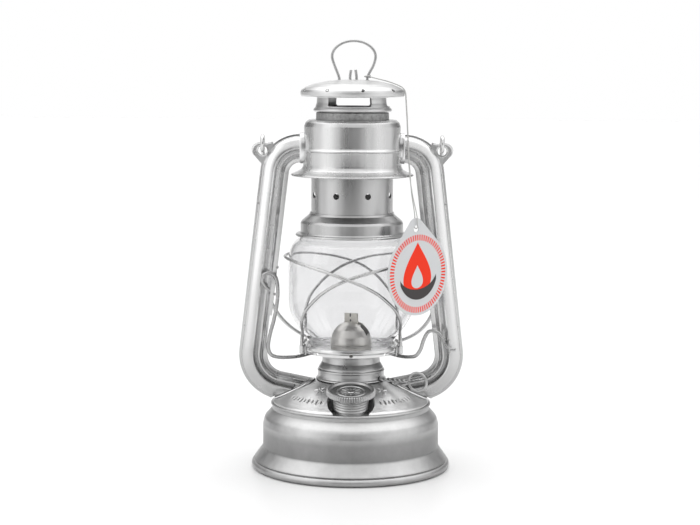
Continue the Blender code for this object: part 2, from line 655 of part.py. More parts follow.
def make_frame():
    for mirror_x, side in ((-1, "left"), (1, "right")):
        for face, name in ((-1, "front"), (1, "back")):
            half = tin(tube_half(mirror_x, face), f"side_tube_{side}_{name}", 0.62, 0.28)
            lug = tin(ear_body(mirror_x, face), f"guide_ear_{side}_{name}")
            apply_boolean(half, lug, "UNION")
            hole_x, hole_z = mirror_x * EAR_HOLE[0], EAR_HOLE[1]
            tools = [rod((hole_x, -4, hole_z), (hole_x, 4, hole_z), EAR_HOLE_RADIUS, 16)]
            if side == "left":
                notch = box_body((-1.2, -3, -9.0), (5.0, 3, 9.0))
                turn = Matrix.Translation((-54.4, 0, 92.6)) @ Matrix.Rotation(LEG_SLANT, 4, "Y")
                tools.append(place(notch, turn))
            cut(half, joined(tools), f"tube_{side}_{name}")

        collar = ring_plate(oval(10.7, 8.2), oval(8.6, 5.6), 0.9)
        turn = Matrix.Rotation(math.radians(90), 4, "Y")
        collar = place(collar, turn)
        bmesh.ops.translate(collar, vec=(33.4, 0, 213.6), verts=collar.verts)
        tin(place(collar, Matrix.Scale(mirror_x, 4, (1, 0, 0))), "hood_collar_" + side, 0.6, 0.3)

        foot = ring_plate(oval(14.6, 8.6), oval(12.2, 5.8), 0.9)
        middle = (CONE_EDGE[0] + CONE_TOP[0]) / 2 + 0.1
        height = (CONE_EDGE[1] + CONE_TOP[1]) / 2
        turn = Matrix.Translation((middle, 0, height)) @ Matrix.Rotation(CONE_SLOPE, 4, "Y")
        foot = place(foot, turn @ Matrix.Translation((0, 0, 0.4)))
        tin(place(foot, Matrix.Scale(mirror_x, 4, (1, 0, 0))), "tube_foot_" + side, 0.75, 0.2)

    ring = []
    for i in range(20):
        a = math.tau * i / 20
        ring.append(Vector((LEVER_PIVOT[0] - 0.2, -10.1 + 4.2 * math.cos(a), 83.0 + 4.2 * math.sin(a))))
    eye = bmesh.new()
    loops = []
    for i, point in enumerate(ring):
        out = (point - Vector((ring[0].x, -10.1, 83.0))).normalized()
        loops.append([eye.verts.new(point + 0.65 * (out * math.cos(math.tau * k / 6)
                                                    + Vector((math.sin(math.tau * k / 6), 0, 0))))
                      for k in range(6)])
    for i in range(20):
        a, b = loops[i], loops[(i + 1) % 20]
        for k in range(6):
            eye.faces.new((a[k], a[(k + 1) % 6], b[(k + 1) % 6], b[k]))
    tin(eye, "lever_eye", 0.5, 0.25)


# ---------------------------------------------------------------- wires that move

def make_bail():
    """The carrying handle, hanging behind the lantern: a hook, a bowed wire and the other hook."""
    def to_world(x, y, z):
        tilt = Matrix.Rotation(BAIL_TILT, 3, "X")
        return tilt @ Vector((x, y, z)) + Vector((0, 0, BAIL_PIVOT))

    def hook(x):
        """From the hook's tip in the ear hole, forward, over the ear's edge and down behind."""
        out = []
        for i in range(13):
            a = math.radians(-72 - 283 * i / 12)
            out.append((x, BAIL_HOOK * math.cos(a), BAIL_HOOK * math.sin(a)))
        return out

    half = EAR_HOLE[0]
    legs = [(-half, BAIL_HOOK, -z) for z in (10.0, 40.0, 70.0)]
    bow = []
    for i in range(19):
        a = math.pi - math.pi * i / 18
        c, s = math.cos(a), math.sin(a)
        power = 3.2 if c > 0 else 2.3
        x = half * math.copysign(abs(c) ** (2 / power), c)
        bow.append((x, BAIL_HOOK, -BAIL_LEG - BAIL_BOW * abs(s) ** (2 / power)))
    points = hook(-half) + legs + bow + [(half, y, z) for _, y, z in legs[::-1]] + hook(half)[::-1]
    path = [to_world(*p) for p in points]
    finish(wire_body(path, BAIL_WIRE), "bail", (0.6, 0.6, 0.6), 1.0, 0.25)


def make_lever():
    path = [Vector(p) for p in LEVER_LEFT + LEVER_UNDER + LEVER_RIGHT]
    finish(wire_body(path, LEVER_WIRE), "lift_lever", (0.4, 0.4, 0.4), 1.0, 0.28)


# ---------------------------------------------------------------- hang tag

def make_tag():
    middle = -TAG_DROP
    spread = math.acos((TAG_RADIUS - TAG_TIP) / TAG_DROP)
    outline = []
    for i in range(23):
        a = math.radians(90) + spread + (math.tau - 2 * spread) * i / 22
        outline.append((TAG_RADIUS * math.cos(a), middle + TAG_RADIUS * math.sin(a)))
    for i in range(5):
        a = math.radians(90) - spread + 2 * spread * i / 4
        outline.append((TAG_TIP * math.cos(a), TAG_TIP * math.sin(a)))
    plate = plate_body(outline, TAG_SHEET)
    bmesh.ops.translate(plate, vec=(0, 0, -TAG_SHEET / 2), verts=plate.verts)
    hole = rod((0, 0, -3), (0, 0, 3), 2.2, 12)
    stand = Matrix.Rotation(TAG_TURN, 4, "Z") @ Matrix.Rotation(math.radians(90), 4, "X")
    turn = Matrix.Translation(TAG_HOLE) @ stand @ Matrix.Rotation(TAG_LEAN, 4, "Z")
    tag = finish(place(plate, turn), "tag", (0.8, 0.8, 0.8), 0.0, 0.6)
    cut(tag, place(hole, turn), "tag_hole")


def string_strands():
    """The doubled string: down one strand, through the tag's hole and up the other, one point list."""
    middle = blend_points(STRING_ROUTE, 2)
    normal = Vector((math.sin(TAG_TURN), -math.cos(TAG_TURN), 0.0))
    front, back = [], []
    lip = 197.4
    for p in middle:
        radial = Vector((p.x, p.y, 0)).normalized()
        along = Vector((-radial.y, radial.x, 0)) * STRING_SPREAD
        t = min(max((lip - p.z) / (lip - TAG_HOLE.z - STRING_TURN), 0.0), 1.0)
        offset = along.lerp(normal * -STRING_TURN, t)
        front.append(p - offset)
        back.append(p + offset)
    loop = []
    for i in range(5):
        a = math.pi * i / 4
        loop.append(TAG_HOLE + normal * (STRING_TURN * math.cos(a))
                    + Vector((0, 0, STRING_TURN * (1.0 - math.sin(a)))))
    return front + loop + back[::-1]


def make_string():
    route = bpy.data.curves.new("string", "CURVE")
    route.dimensions = "3D"
    route.bevel_depth = STRING_WIRE * MM
    route.bevel_resolution = 1
    route.use_fill_caps = True
    route.render_resolution_u = 0
    spline = route.splines.new("POLY")
    points = string_strands()
    spline.points.add(len(points) - 1)
    for slot, p in zip(spline.points, points):
        slot.co = (*(p * MM), 1.0)
    obj = bpy.data.objects.new("string", route)
    material = bpy.data.materials.new("string")
    material.use_nodes = True
    material.node_tree.nodes["Principled BSDF"].inputs["Base Color"].default_value = (0.8, 0.8, 0.78, 1.0)
    route.materials.append(material)
    bpy.context.scene.collection.objects.link(obj)

    foot = ring_feet()[3]
    knot = turned(arc((1.85, 0.0), 0.5, 0, 300, 5), 12)
    bmesh.ops.translate(knot, vec=(foot + 0.15, 0, 260.9), verts=knot.verts)
    finish(knot, "string_knot", (0.8, 0.8, 0.78), 0.0, 0.8)


def main():
    for obj in list(bpy.data.objects):
        bpy.data.objects.remove(obj)
    make_tank()
    make_filler()
    make_burner()
    make_wick_knob()
    make_globe()
    make_chimney()
    make_top_ring()
    make_hood()
    make_frame()
    make_bail()
    make_lever()
    make_tag()
    make_string()


main()
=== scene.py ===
"""Looks of the barn lantern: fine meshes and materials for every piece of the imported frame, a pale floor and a
soft studio light. Lengths of the lantern are in millimetres, and new_mesh turns them into metres."""

import math

import bmesh
import bpy
from mathutils import Matrix, Vector, noise


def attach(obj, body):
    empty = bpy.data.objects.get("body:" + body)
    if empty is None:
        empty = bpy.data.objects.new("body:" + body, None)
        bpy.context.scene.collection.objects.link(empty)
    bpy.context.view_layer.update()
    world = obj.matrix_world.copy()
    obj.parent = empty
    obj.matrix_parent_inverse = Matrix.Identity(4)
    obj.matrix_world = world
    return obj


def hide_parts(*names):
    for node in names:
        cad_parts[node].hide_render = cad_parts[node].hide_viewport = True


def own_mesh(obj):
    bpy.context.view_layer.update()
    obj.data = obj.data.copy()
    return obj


MM = 0.001
SEG = 144
SHEET = 0.45
SHARP_ANGLE = 32.0

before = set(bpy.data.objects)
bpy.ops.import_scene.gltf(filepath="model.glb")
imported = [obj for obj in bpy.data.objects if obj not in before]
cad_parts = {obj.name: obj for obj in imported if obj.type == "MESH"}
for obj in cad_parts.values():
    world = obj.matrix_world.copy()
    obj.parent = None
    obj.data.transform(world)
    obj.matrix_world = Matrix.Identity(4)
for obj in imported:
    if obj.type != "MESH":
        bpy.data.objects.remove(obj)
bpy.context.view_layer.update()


# ---- materials ----

def new_material(name):
    mat = bpy.data.materials.new(name)
    mat.use_nodes = True
    tree = mat.node_tree
    return mat, tree, tree.nodes["Principled BSDF"]


def put(made, **values):
    """Sets a node's attributes and, where it has none of that name, its inputs (From_Min for From Min)."""
    for key, value in values.items():
        if hasattr(made, key):
            setattr(made, key, value)
        else:
            made.inputs[key.replace("_", " ")].default_value = value
    return made


def node(tree, kind, **values):
    return put(tree.nodes.new(kind), **values)


# The height that levels lists reach up to.
LEVELS_TOP = 250.0


def metal(name, grey, rough, spread=0.05, stretch=1.0, scale=60.0, bump=0.0, bump_scale=250.0, tone=0.05,
          levels=None, cast=(0.0, 0.0, 0.0)):
    """Sheet metal: base colour and roughness vary a little, and a fine bump breaks up its reflections.
    stretch below 1 draws the pattern out upward, and cast is a colour added to the grey. levels lists
    (height, factor) up the lantern: painted reflection and shade, a brightness multiplied into the base colour
    there in place of the things the sheet would reflect."""
    mat, tree, shader = new_material(name)
    put(shader, Metallic=1.0)
    place = node(tree, "ShaderNodeTexCoord")
    stretched = node(tree, "ShaderNodeMapping", Scale=(1.0, 1.0, stretch))
    tree.links.new(place.outputs["Object"], stretched.inputs["Vector"])
    cloud = node(tree, "ShaderNodeTexNoise", Scale=scale, Detail=4.0, Roughness=0.6)
    tree.links.new(stretched.outputs["Vector"], cloud.inputs["Vector"])
    shade = node(tree, "ShaderNodeValToRGB")
    low = [grey + c - tone for c in cast]
    high = [grey + c + tone for c in cast]
    shade.color_ramp.elements[0].position = 0.3
    shade.color_ramp.elements[0].color = (*low, 1.0)
    shade.color_ramp.elements[1].position = 0.7
    shade.color_ramp.elements[1].color = (*high, 1.0)
    tree.links.new(cloud.outputs["Fac"], shade.inputs["Fac"])
    tint = shade.outputs["Color"]
    # Painted reflection and shade: levels darken or lighten the base colour by height, in place of what the
    # sheet reflects.
    if levels:
        split = node(tree, "ShaderNodeSeparateXYZ")
        tree.links.new(place.outputs["Object"], split.inputs["Vector"])
        height = node(tree, "ShaderNodeMapRange", From_Max=LEVELS_TOP * MM)
        tree.links.new(split.outputs["Z"], height.inputs["Value"])
        painted_reflection = node(tree, "ShaderNodeValToRGB")
        for i, (z, factor) in enumerate(levels):
            stop = painted_reflection.color_ramp.elements[i] if i < 2 else painted_reflection.color_ramp.elements.new(1.0)
            stop.position = z / LEVELS_TOP
            stop.color = (factor, factor, factor, 1.0)
        tree.links.new(height.outputs["Result"], painted_reflection.inputs["Fac"])
        mix = node(tree, "ShaderNodeMix", data_type="RGBA", blend_type="MULTIPLY", Factor=1.0)
        tree.links.new(tint, mix.inputs["A"])
        tree.links.new(painted_reflection.outputs["Color"], mix.inputs["B"])
        tint = mix.outputs["Result"]
    tree.links.new(tint, shader.inputs["Base Color"])
    rub = node(tree, "ShaderNodeMapRange", From_Min=0.3, From_Max=0.7, To_Min=rough - spread,
               To_Max=rough + spread)
    tree.links.new(cloud.outputs["Fac"], rub.inputs["Value"])
    tree.links.new(rub.outputs["Result"], shader.inputs["Roughness"])
    if bump:
        fine = node(tree, "ShaderNodeTexNoise", Scale=bump_scale, Detail=3.0, Roughness=0.55)
        tree.links.new(stretched.outputs["Vector"], fine.inputs["Vector"])
        relief = node(tree, "ShaderNodeBump", Strength=bump, Distance=0.0004)
        tree.links.new(fine.outputs["Fac"], relief.inputs["Height"])
        tree.links.new(relief.outputs["Normal"], shader.inputs["Normal"])
    return mat


def plain(name, color, rough, metallic=0.0):
    mat, _, shader = new_material(name)
    put(shader, Base_Color=(*color, 1.0), Roughness=rough, Metallic=metallic)
    return mat


# Painted reflection and shade by height: darker lower elbows on the tubes, darker bands on the tank wall.
TUBE_LEVELS = [(44, 0.58), (62, 0.66), (88, 0.90), (130, 1.0), (205, 1.0), (222, 0.92)]
TANK_LEVELS = [(2, 0.72), (4.4, 1.0), (5.4, 0.5), (6.4, 1.05), (13.6, 0.92), (14.4, 0.46), (25, 0.56),
               (31, 0.98), (37, 1.08), (40, 0.80)]


def make_materials():
    mats = {
        "bright": metal("tin_bright", 0.66, 0.20, bump=0.10, scale=45),
        "tube": metal("tin_tube", 0.74, 0.25, 0.06, stretch=0.2, bump=0.10, tone=0.06, levels=TUBE_LEVELS),
        "sheet": metal("tin_sheet", 0.64, 0.36, bump=0.14),
        "dome": metal("tin_dome", 0.66, 0.33, bump=0.16),
        "satin": metal("tin_satin", 0.46, 0.30, bump=0.08, stretch=0.12, scale=90),
        "hood": metal("tin_hood", 0.58, 0.27, 0.06, bump=0.10, stretch=0.10, scale=70, tone=0.06),
        "tank": metal("tin_tank", 0.52, 0.38, 0.04, bump=0.20, scale=120, bump_scale=500, tone=0.04,
                      levels=TANK_LEVELS),
        "dark": metal("tin_dark", 0.46, 0.34, 0.06, bump=0.10, scale=80),
        "grain": metal("tin_grain", 0.34, 0.5, 0.08, bump=1.0, scale=420, bump_scale=1100, tone=0.14),
        "burner": metal("tin_burner", 0.86, 0.40, bump=0.08, cast=(0.0, -0.015, -0.05)),
        "pocket": metal("tin_pocket", 0.80, 0.45),
        "wire": metal("wire_steel", 0.66, 0.24, 0.04, scale=120, tone=0.06),
        "guard": metal("wire_guard", 0.50, 0.26, 0.04, scale=120),
        "ring": metal("wire_ring", 0.44, 0.30, 0.04, scale=120),
        "lever": metal("wire_lever", 0.42, 0.26, scale=120, tone=0.06),
        "brass": plain("brass", (0.70, 0.58, 0.34), 0.3, 1.0),
        "rubber": plain("rubber", (0.03, 0.03, 0.03), 0.7),
        "string": plain("string", (0.50, 0.50, 0.49), 0.9),
        "card": plain("tag_card", (0.62, 0.63, 0.64), 0.6),
        "red": plain("tag_red", (0.86, 0.030, 0.004), 0.85),
        "ink": plain("tag_ink", (0.03, 0.025, 0.025), 0.5),
    }

    mat, _, shader = new_material("globe_glass")
    put(shader, Base_Color=(0.875, 0.875, 0.88, 1.0), Roughness=0.0, IOR=1.47, Transmission_Weight=1.0)
    mats["glass"] = mat

    mat, tree, shader = new_material("wick_cotton")
    weave = node(tree, "ShaderNodeTexWave", Scale=900.0, Distortion=1.5, bands_direction="Z")
    put(shader, Roughness=0.95)
    shade = node(tree, "ShaderNodeValToRGB")
    shade.color_ramp.elements[0].color = (0.88, 0.84, 0.74, 1.0)
    shade.color_ramp.elements[1].color = (0.98, 0.96, 0.90, 1.0)
    place = node(tree, "ShaderNodeTexCoord")
    tree.links.new(place.outputs["Object"], weave.inputs["Vector"])
    tree.links.new(weave.outputs["Color"], shade.inputs["Fac"])
    tree.links.new(shade.outputs["Color"], shader.inputs["Base Color"])
    mats["wick"] = mat
    return mats


MATS = make_materials()


# ---- mesh helpers ----

def new_mesh(name, verts, faces, weld=False):
    """A mesh in metres, made from points in millimetres, with its normals turned outward."""
    mesh = bpy.data.meshes.new(name)
    mesh.from_pydata([tuple(c * MM for c in v) for v in verts], [], faces)
    bm = bmesh.new()
    bm.from_mesh(mesh)
    if weld:
        bmesh.ops.remove_doubles(bm, verts=bm.verts, dist=1e-7)
    bmesh.ops.recalc_face_normals(bm, faces=bm.faces)
    bm.to_mesh(mesh)
    bm.free()
    return mesh


def new_object(name, data):
    obj = bpy.data.objects.new(name, data)
    bpy.context.scene.collection.objects.link(obj)
    return obj


def piece(name, verts, faces, mat, body, nodes, angle=SHARP_ANGLE, *, slot):
    """Makes a named object, gives it its look, lets it ride on its body and stand for its CAD nodes."""
    mesh = new_mesh(name, verts, faces, weld=True)
    mesh.shade_smooth()
    mesh.set_sharp_from_angle(angle=math.radians(angle))
    mesh.materials.append(MATS[mat])
    obj = new_object(name, mesh)
    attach(obj, body)
    if nodes:
        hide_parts(*nodes)
    return obj


def merged(*meshes):
    """Several meshes as one."""
    verts, faces = [], []
    for v, f in meshes:
        faces += [tuple(i + len(verts) for i in face) for face in f]
        verts += v
    return verts, faces


def moved(mesh, matrix):
    return [matrix @ Vector(v) for v in mesh[0]], mesh[1]


def filleted(line, radii, steps=4):
    """A polyline with its inner corners rounded. radii is one number or one for each inner corner."""
    out = [Vector(line[0])]
    for i in range(1, len(line) - 1):
        r = radii if isinstance(radii, (int, float)) else radii[i - 1]
        a, b, c = Vector(line[i - 1]), Vector(line[i]), Vector(line[i + 1])
        u, v = (a - b), (c - b)
        turn = math.pi - u.angle(v, 0.0)
        if r <= 0 or turn < 0.03:
            out.append(b)
            continue
        reach = min(r * math.tan(turn / 2), 0.48 * u.length, 0.48 * v.length)
        p, q = b + u.normalized() * reach, b + v.normalized() * reach
        for k in range(steps + 1):
            t = k / steps
            out.append(p.lerp(b, t).lerp(b.lerp(q, t), t))
    out.append(Vector(line[-1]))
    return [(p.x, p.y) for p in out]


def offset(line, distance):
    """The line moved to the left of its direction."""
    out = []
    for i, p in enumerate(line):
        normals = []
        for j in (i - 1, i):
            if 0 <= j < len(line) - 1:
                d = Vector(line[j + 1]) - Vector(line[j])
                if d.length > 1e-9:
                    d.normalize()
                    normals.append(Vector((-d.y, d.x)))
        n = sum(normals, Vector((0.0, 0.0))).normalized()
        k = 1.0 / max(0.4, n.dot(normals[0]))
        out.append((p[0] + n.x * distance * k, p[1] + n.y * distance * k))
    return out


def lathe(profile, closed=True, seg=SEG, wobble=None):
    """Turns a (radius, height) outline about Z. wobble(angle, r, z) may add to the radius."""
    verts, faces = [], []
    count = len(profile)
    for s in range(seg):
        a = math.tau * s / seg
        for r, z in profile:
            q = r + (wobble(a, r, z) if wobble else 0.0)
            verts.append((q * math.cos(a), q * math.sin(a), z))
    last = count if closed else count - 1
    for s in range(seg):
        t = (s + 1) % seg
        for i in range(last):
            j = (i + 1) % count
            faces.append((s * count + i, t * count + i, t * count + j, s * count + j))
    return verts, faces


def pressed(line, thickness=SHEET, seg=SEG, wobble=None):
    """A turned sheet: line is its outer side, and its inside lies a thickness away."""
    return lathe(list(line) + offset(line, thickness)[::-1], True, seg, wobble)


def frames(path, closed=False):
    """The path's points, each with two directions square to the path that don't twist along it."""
    count = len(path)
    side = None
    out = []
    for i, p in enumerate(path):
        ahead = path[(i + 1) % count] if closed or i + 1 < count else path[i]
        behind = path[i - 1] if closed or i else path[i]
        d = (ahead - behind).normalized()
        if side is None:
            side = d.orthogonal().normalized()
        side = (side - d * side.dot(d)).normalized()
        out.append((p, side, d.cross(side)))
    return out


def wire(path, radius, sides=12, closed=False):
    """A round wire; radius is a number or one per point. Its ends are rounded off a little."""
    radii = radius if isinstance(radius, list) else [radius] * len(path)
    verts, faces = [], []
    for (p, u, v), r in zip(frames(path, closed), radii):
        verts += [p + r * (u * math.cos(math.tau * k / sides) + v * math.sin(math.tau * k / sides))
                  for k in range(sides)]
    rings = len(path)
    for i in range(rings if closed else rings - 1):
        j = (i + 1) % rings
        for k in range(sides):
            m = (k + 1) % sides
            faces.append((i * sides + k, i * sides + m, j * sides + m, j * sides + k))
    if not closed:
        for i, d in ((0, path[0] - path[1]), (rings - 1, path[-1] - path[-2])):
            d = d.normalized()
            tip = len(verts)
            centre = path[i] + d * radii[i] * 0.35
            verts += [centre + (verts[i * sides + k] - path[i]) * 0.7 for k in range(sides)]
            for k in range(sides):
                m = (k + 1) % sides
                faces.append((i * sides + k, i * sides + m, tip + m, tip + k))
            faces.append(tuple(range(tip, tip + sides)))
    return verts, faces


def curve(points, steps):
    """A smooth (Catmull-Rom) curve through points."""
    path = [Vector(p) for p in points]
    path = [path[0] * 2 - path[1]] + path + [path[-1] * 2 - path[-2]]
    out = []
    for i in range(1, len(path) - 2):
        a, b, c, d = path[i - 1:i + 3]
        for k in range(steps):
            t = k / steps
            out.append(0.5 * ((2 * b) + (c - a) * t + (2 * a - 5 * b + 4 * c - d) * t * t
                              + (3 * b - a - 3 * c + d) * t ** 3))
    out.append(path[-2])
    return out


def loft(rings, caps=True):
    """A skin over rings of equally many points, with or without its two end faces."""
    verts = [p for ring in rings for p in ring]
    count = len(rings[0])
    faces = []
    for i in range(len(rings) - 1):
        for k in range(count):
            m = (k + 1) % count
            faces.append((i * count + k, i * count + m, (i + 1) * count + m, (i + 1) * count + k))
    if caps:
        faces.append(tuple(range(count)))
        faces.append(tuple(range(len(verts) - count, len(verts))))
    return verts, faces


def rod(a, b, radius, sides=16):
    """A straight round rod between two points."""
    return wire([Vector(a), Vector(a).lerp(Vector(b), 0.5), Vector(b)], radius, sides)


def polar(radius, degrees, z=0.0):
    """A point at a distance from the Z axis. 0 degrees is to the right and -90 degrees is in front."""
    a = math.radians(degrees)
    return Vector((radius * math.cos(a), radius * math.sin(a), z))


def spokes(count, first, inner, outer, radius, sides):
    """Rods all round the Z axis. inner and outer are (distance, height) of a rod's ends, first its angle."""
    rods = []
    for i in range(count):
        a = first + 360.0 * i / count
        rods.append(rod(polar(inner[0], a, inner[1]), polar(outer[0], a, outer[1]), radius, sides))
    return rods


def arc(centre, radii, start, end, steps):
    """Points in a plane along an ellipse, from one angle to another in degrees."""
    out = []
    for i in range(steps + 1):
        a = math.radians(start + (end - start) * i / steps)
        out.append((centre[0] + radii[0] * math.cos(a), centre[1] + radii[1] * math.sin(a)))
    return out


def oval(half_x, half_y, steps, power=2.4):
    """A closed outline between an ellipse and a rectangle."""
    out = []
    for i in range(steps):
        c, s = math.cos(math.tau * i / steps), math.sin(math.tau * i / steps)
        x = half_x * math.copysign(abs(c) ** (2 / power), c)
        y = half_y * math.copysign(abs(s) ** (2 / power), s)
        out.append((x, y))
    return out


def filleted_box(half_x, half_y, r):
    """A closed rectangle with round corners."""
    out = []
    for cx, cy, start in ((1, 1, 0), (-1, 1, 90), (-1, -1, 180), (1, -1, 270)):
        out += arc((cx * (half_x - r), cy * (half_y - r)), (r, r), start, start + 90, 4)
    return out


def flat_shape(outline, low, high):
    """A plate with an outline in (x, y), between two heights."""
    return loft([[Vector((x, y, z)) for x, y in outline] for z in (low, high)])


def block(low, high):
    """A box between two corners."""
    x0, y0, z0 = low
    x1, y1, z1 = high
    verts = [(x, y, z) for z in (z0, z1) for y in (y0, y1) for x in (x0, x1)]
    faces = [(0, 1, 3, 2), (4, 5, 7, 6), (0, 1, 5, 4), (2, 3, 7, 6), (0, 2, 6, 4), (1, 3, 7, 5)]
    return verts, faces


def cutter(name, mesh, obj, operation="DIFFERENCE", curled=False):
    """Cuts, joins or limits a piece by a mesh, at once. curled is for a piece that folds back on itself."""
    tool = new_object(name, new_mesh(name, *mesh))
    change = obj.modifiers.new(name, "BOOLEAN")
    change.operation = operation
    change.solver = "EXACT"
    change.use_self = curled
    change.object = tool
    graph = bpy.context.evaluated_depsgraph_get()
    made = bpy.data.meshes.new_from_object(obj.evaluated_get(graph))
    obj.modifiers.clear()
    obj.data = made
    bpy.data.objects.remove(tool)
    made.set_sharp_from_angle(angle=math.radians(SHARP_ANGLE))


# ---- tank ----

def dents(amount, scale, seed):
    """Slight unevenness of hand-finished sheet."""
    def wobble(a, r, z):
        p = Vector((math.cos(a) * r, math.sin(a) * r, z)) / scale + Vector((seed, 0, 0))
        return noise.noise(p) * amount
    return wobble


# The tank's top runs from its edge up to the burner, as (radius, height), and bulges a little.
CONE_EDGE, CONE_TOP = Vector((51.6, 45.0)), Vector((23.0, 58.8))
CONE_BULGE = 0.9
CONE_SLOPE = math.atan2(CONE_TOP.y - CONE_EDGE.y, CONE_EDGE.x - CONE_TOP.x)
CAP_TILT = math.radians(10.5)
CAP_FRAME = Matrix.Translation((0.0, -40.2, 59.2)) @ Matrix.Rotation(CAP_TILT, 4, "X")
WELL = (0.0, -40.2)
WELL_RADIUS = 15.4


def build_tank():
    bead = arc((63.8, 2.6), (2.6, 2.6), -150, 78, 19)
    wall = filleted([bead[-1], (64.5, 5.5), (64.8, 6.0), (59.3, 13.5), (58.9, 14.5), (58.9, 29.4),
                     (57.6, 34.2), (53.6, 38.6), (52.6, 39.6), (52.6, 42.0)],
                    [0.0, 0.3, 1.0, 0.6, 7.0, 6.0, 3.0, 1.0], 6)
    seam = [(53.1, 42.2), (53.5, 42.8), (53.5, 43.4), (53.0, 43.9), (52.3, 43.95)]
    body = pressed(bead + wall[1:] + seam, 0.5, 180, dents(0.10, 26.0, 3.0))
    piece("tank_wall", *body, "tank", "frame", ["tank_body"], slot="dull_tin")

    floor = filleted([(0.0, 10.4), (50.0, 10.4), (52.0, 8.8), (57.9, 8.8)], 1.2)
    piece("tank_floor", *lathe(floor, False), "tank", "frame", ["tank_bottom"], slot="dull_tin")

    cone = [(52.1, 44.0), (52.0, 44.7), (50.9, 45.7)]
    for i in range(1, 12):
        p = CONE_EDGE.lerp(CONE_TOP, i / 12)
        cone.append((p.x, p.y + CONE_BULGE * math.sin(math.pi * i / 12)))
    cone.append((23.0, 58.9))
    sheet = pressed(cone, SHEET, 180, dents(0.16, 17.0, 8.0))
    top = piece("tank_top_sheet", *sheet, "dome", "frame", ["tank_top"], slot="bright_tin")
    hole = rod((*WELL, 40), (*WELL, 72), WELL_RADIUS + 0.3, 48)
    cutter("well_cut", hole, top)

    cup = filleted([(0.0, 43.2), (WELL_RADIUS - 0.2, 43.2), (WELL_RADIUS - 0.2, 64.0)], 1.2)
    well = moved(lathe(cup + offset(cup, -0.35)[::-1], True, 72), Matrix.Translation((*WELL, 0)))
    well = piece("filler_pocket", *well, "pocket", "frame", ["filler_well"], slot="dull_tin")
    under = lathe([(0.0, 30.0), (51.3, 30.0), (51.3, 45.2), (23.0, 58.7), (0.0, 58.7)], False, 96)
    cutter("pocket_limit", under, well, "INTERSECT")


def on_cone(along, across):
    """The frame of a place on the tank's top: across, down the slope and outward.
    along is the share of the slope above the place, across its angle from the front in degrees."""
    a = math.radians(across - 90.0)
    p = CONE_TOP.lerp(CONE_EDGE, along)
    out = Vector((math.cos(a), math.sin(a), 0.0))
    down = (out * (CONE_EDGE.x - CONE_TOP.x) + Vector((0, 0, CONE_EDGE.y - CONE_TOP.y))).normalized()
    side = Vector((-math.sin(a), math.cos(a), 0.0))
    normal = side.cross(down)
    if normal.z < 0:
        normal = -normal
    place = out * p.x + Vector((0, 0, p.y + CONE_BULGE * math.sin(math.pi * along))) + normal * 0.3
    return Matrix.Translation(place) @ Matrix((side, down, normal)).transposed().to_4x4()


def build_marks():
    """Plain raised strokes and rosettes pressed in the tank's top."""
    strokes = []
    for low, high in ((-62.0, -27.0), (27.0, 62.0)):
        for i in range(9):
            tall = 1.9 if i % 2 else 1.2
            bar = [Vector((0, -tall, 0)), Vector((0, 0, 0.12)), Vector((0, tall, 0))]
            strokes.append(moved(wire(bar, 0.42, 8), on_cone(0.70, low + (high - low) * i / 8)))
    petal = wire([Vector((0, 1.2, 0)), Vector((0, 2.4, 0.15)), Vector((0, 3.6, 0))], 0.5, 8)
    for across in (-40.0, 40.0):
        for k in range(5):
            strokes.append(moved(petal, on_cone(0.30, across) @ Matrix.Rotation(math.tau * k / 5, 4, "Z")))
    piece("tank_marks", *merged(*strokes), "dome", "frame", [], slot="bright_tin")


def build_filler():
    neck = lathe([(10.0, -16.2), (10.0, -3.6), (9.0, -3.6), (9.0, -16.2)], True, 48)
    piece("filler_spout", *moved(neck, CAP_FRAME), "dark", "frame", ["filler_neck"], slot="dull_tin")
    gasket = lathe([(10.2, -3.2), (10.2, -2.7), (7.0, -2.7), (7.0, -3.2)], True, 48)
    piece("cap_washer", *moved(gasket, CAP_FRAME), "rubber", "cap_gasket", ["filler_gasket"], slot="rubber")

    ridges = 60
    def knurl(a, r, z):
        return -0.85 * (0.5 + 0.5 * math.cos(a * ridges)) if r > 15.4 and -3.4 < z < -0.1 else 0.0
    line = [(0.0, -1.5), (12.6, -1.5), (13.1, -1.2), (13.4, -0.4), (13.8, 0.0), (15.1, 0.0), (15.7, -0.2),
            (16.1, -0.7), (16.1, -2.9), (15.8, -3.3), (15.2, -3.5), (12.2, -3.7), (11.5, -4.2)]
    for i in range(5):
        z = -4.4 - i * 1.75
        line += [(11.15, z), (11.6, z - 0.5), (11.75, z - 0.9), (11.6, z - 1.3)]
    line += [(11.2, -13.0), (10.7, -13.2), (10.6, -2.3), (0.0, -2.3)]
    cap = moved(lathe(line, False, 300, knurl), CAP_FRAME)
    crest = spokes(12, 0, (3.4, -1.35), (6.6, -1.35), 0.42, 8)
    crest.append(lathe([(0.0, -1.0), (2.2, -1.05), (2.8, -1.5)], False, 32))
    crest.append(lathe([(8.4, -1.5), (8.8, -1.05), (9.4, -1.05), (9.8, -1.5)], False, 64))
    cap = merged(cap, moved(merged(*crest), CAP_FRAME))
    piece("filler_cap_turned", *cap, "dark", "filler_cap", ["filler_cap"], slot="dull_tin")


# ---- burner ----

SHAFT_ANGLE = math.radians(-22.0)
SHAFT_DIR = Vector((math.cos(SHAFT_ANGLE), math.sin(SHAFT_ANGLE), 0.0))
SHAFT_SIDE = Vector((math.sin(SHAFT_ANGLE), -math.cos(SHAFT_ANGLE), 0.0))
WICK_TURN = Matrix.Rotation(SHAFT_ANGLE, 4, "Z")
# The shaft passes beside the wick tube, this far from its middle and this high.
SHAFT_AWAY, SHAFT_Z = 4.1, 60.9


def shaft_frame():
    """The wick shaft's frame, with Z along the shaft toward the knob."""
    z = SHAFT_DIR
    x = Vector((0, 0, 1))
    turn = Matrix((x, z.cross(x), z)).transposed().to_4x4()
    return Matrix.Translation(SHAFT_SIDE * SHAFT_AWAY + Vector((0, 0, SHAFT_Z))) @ turn


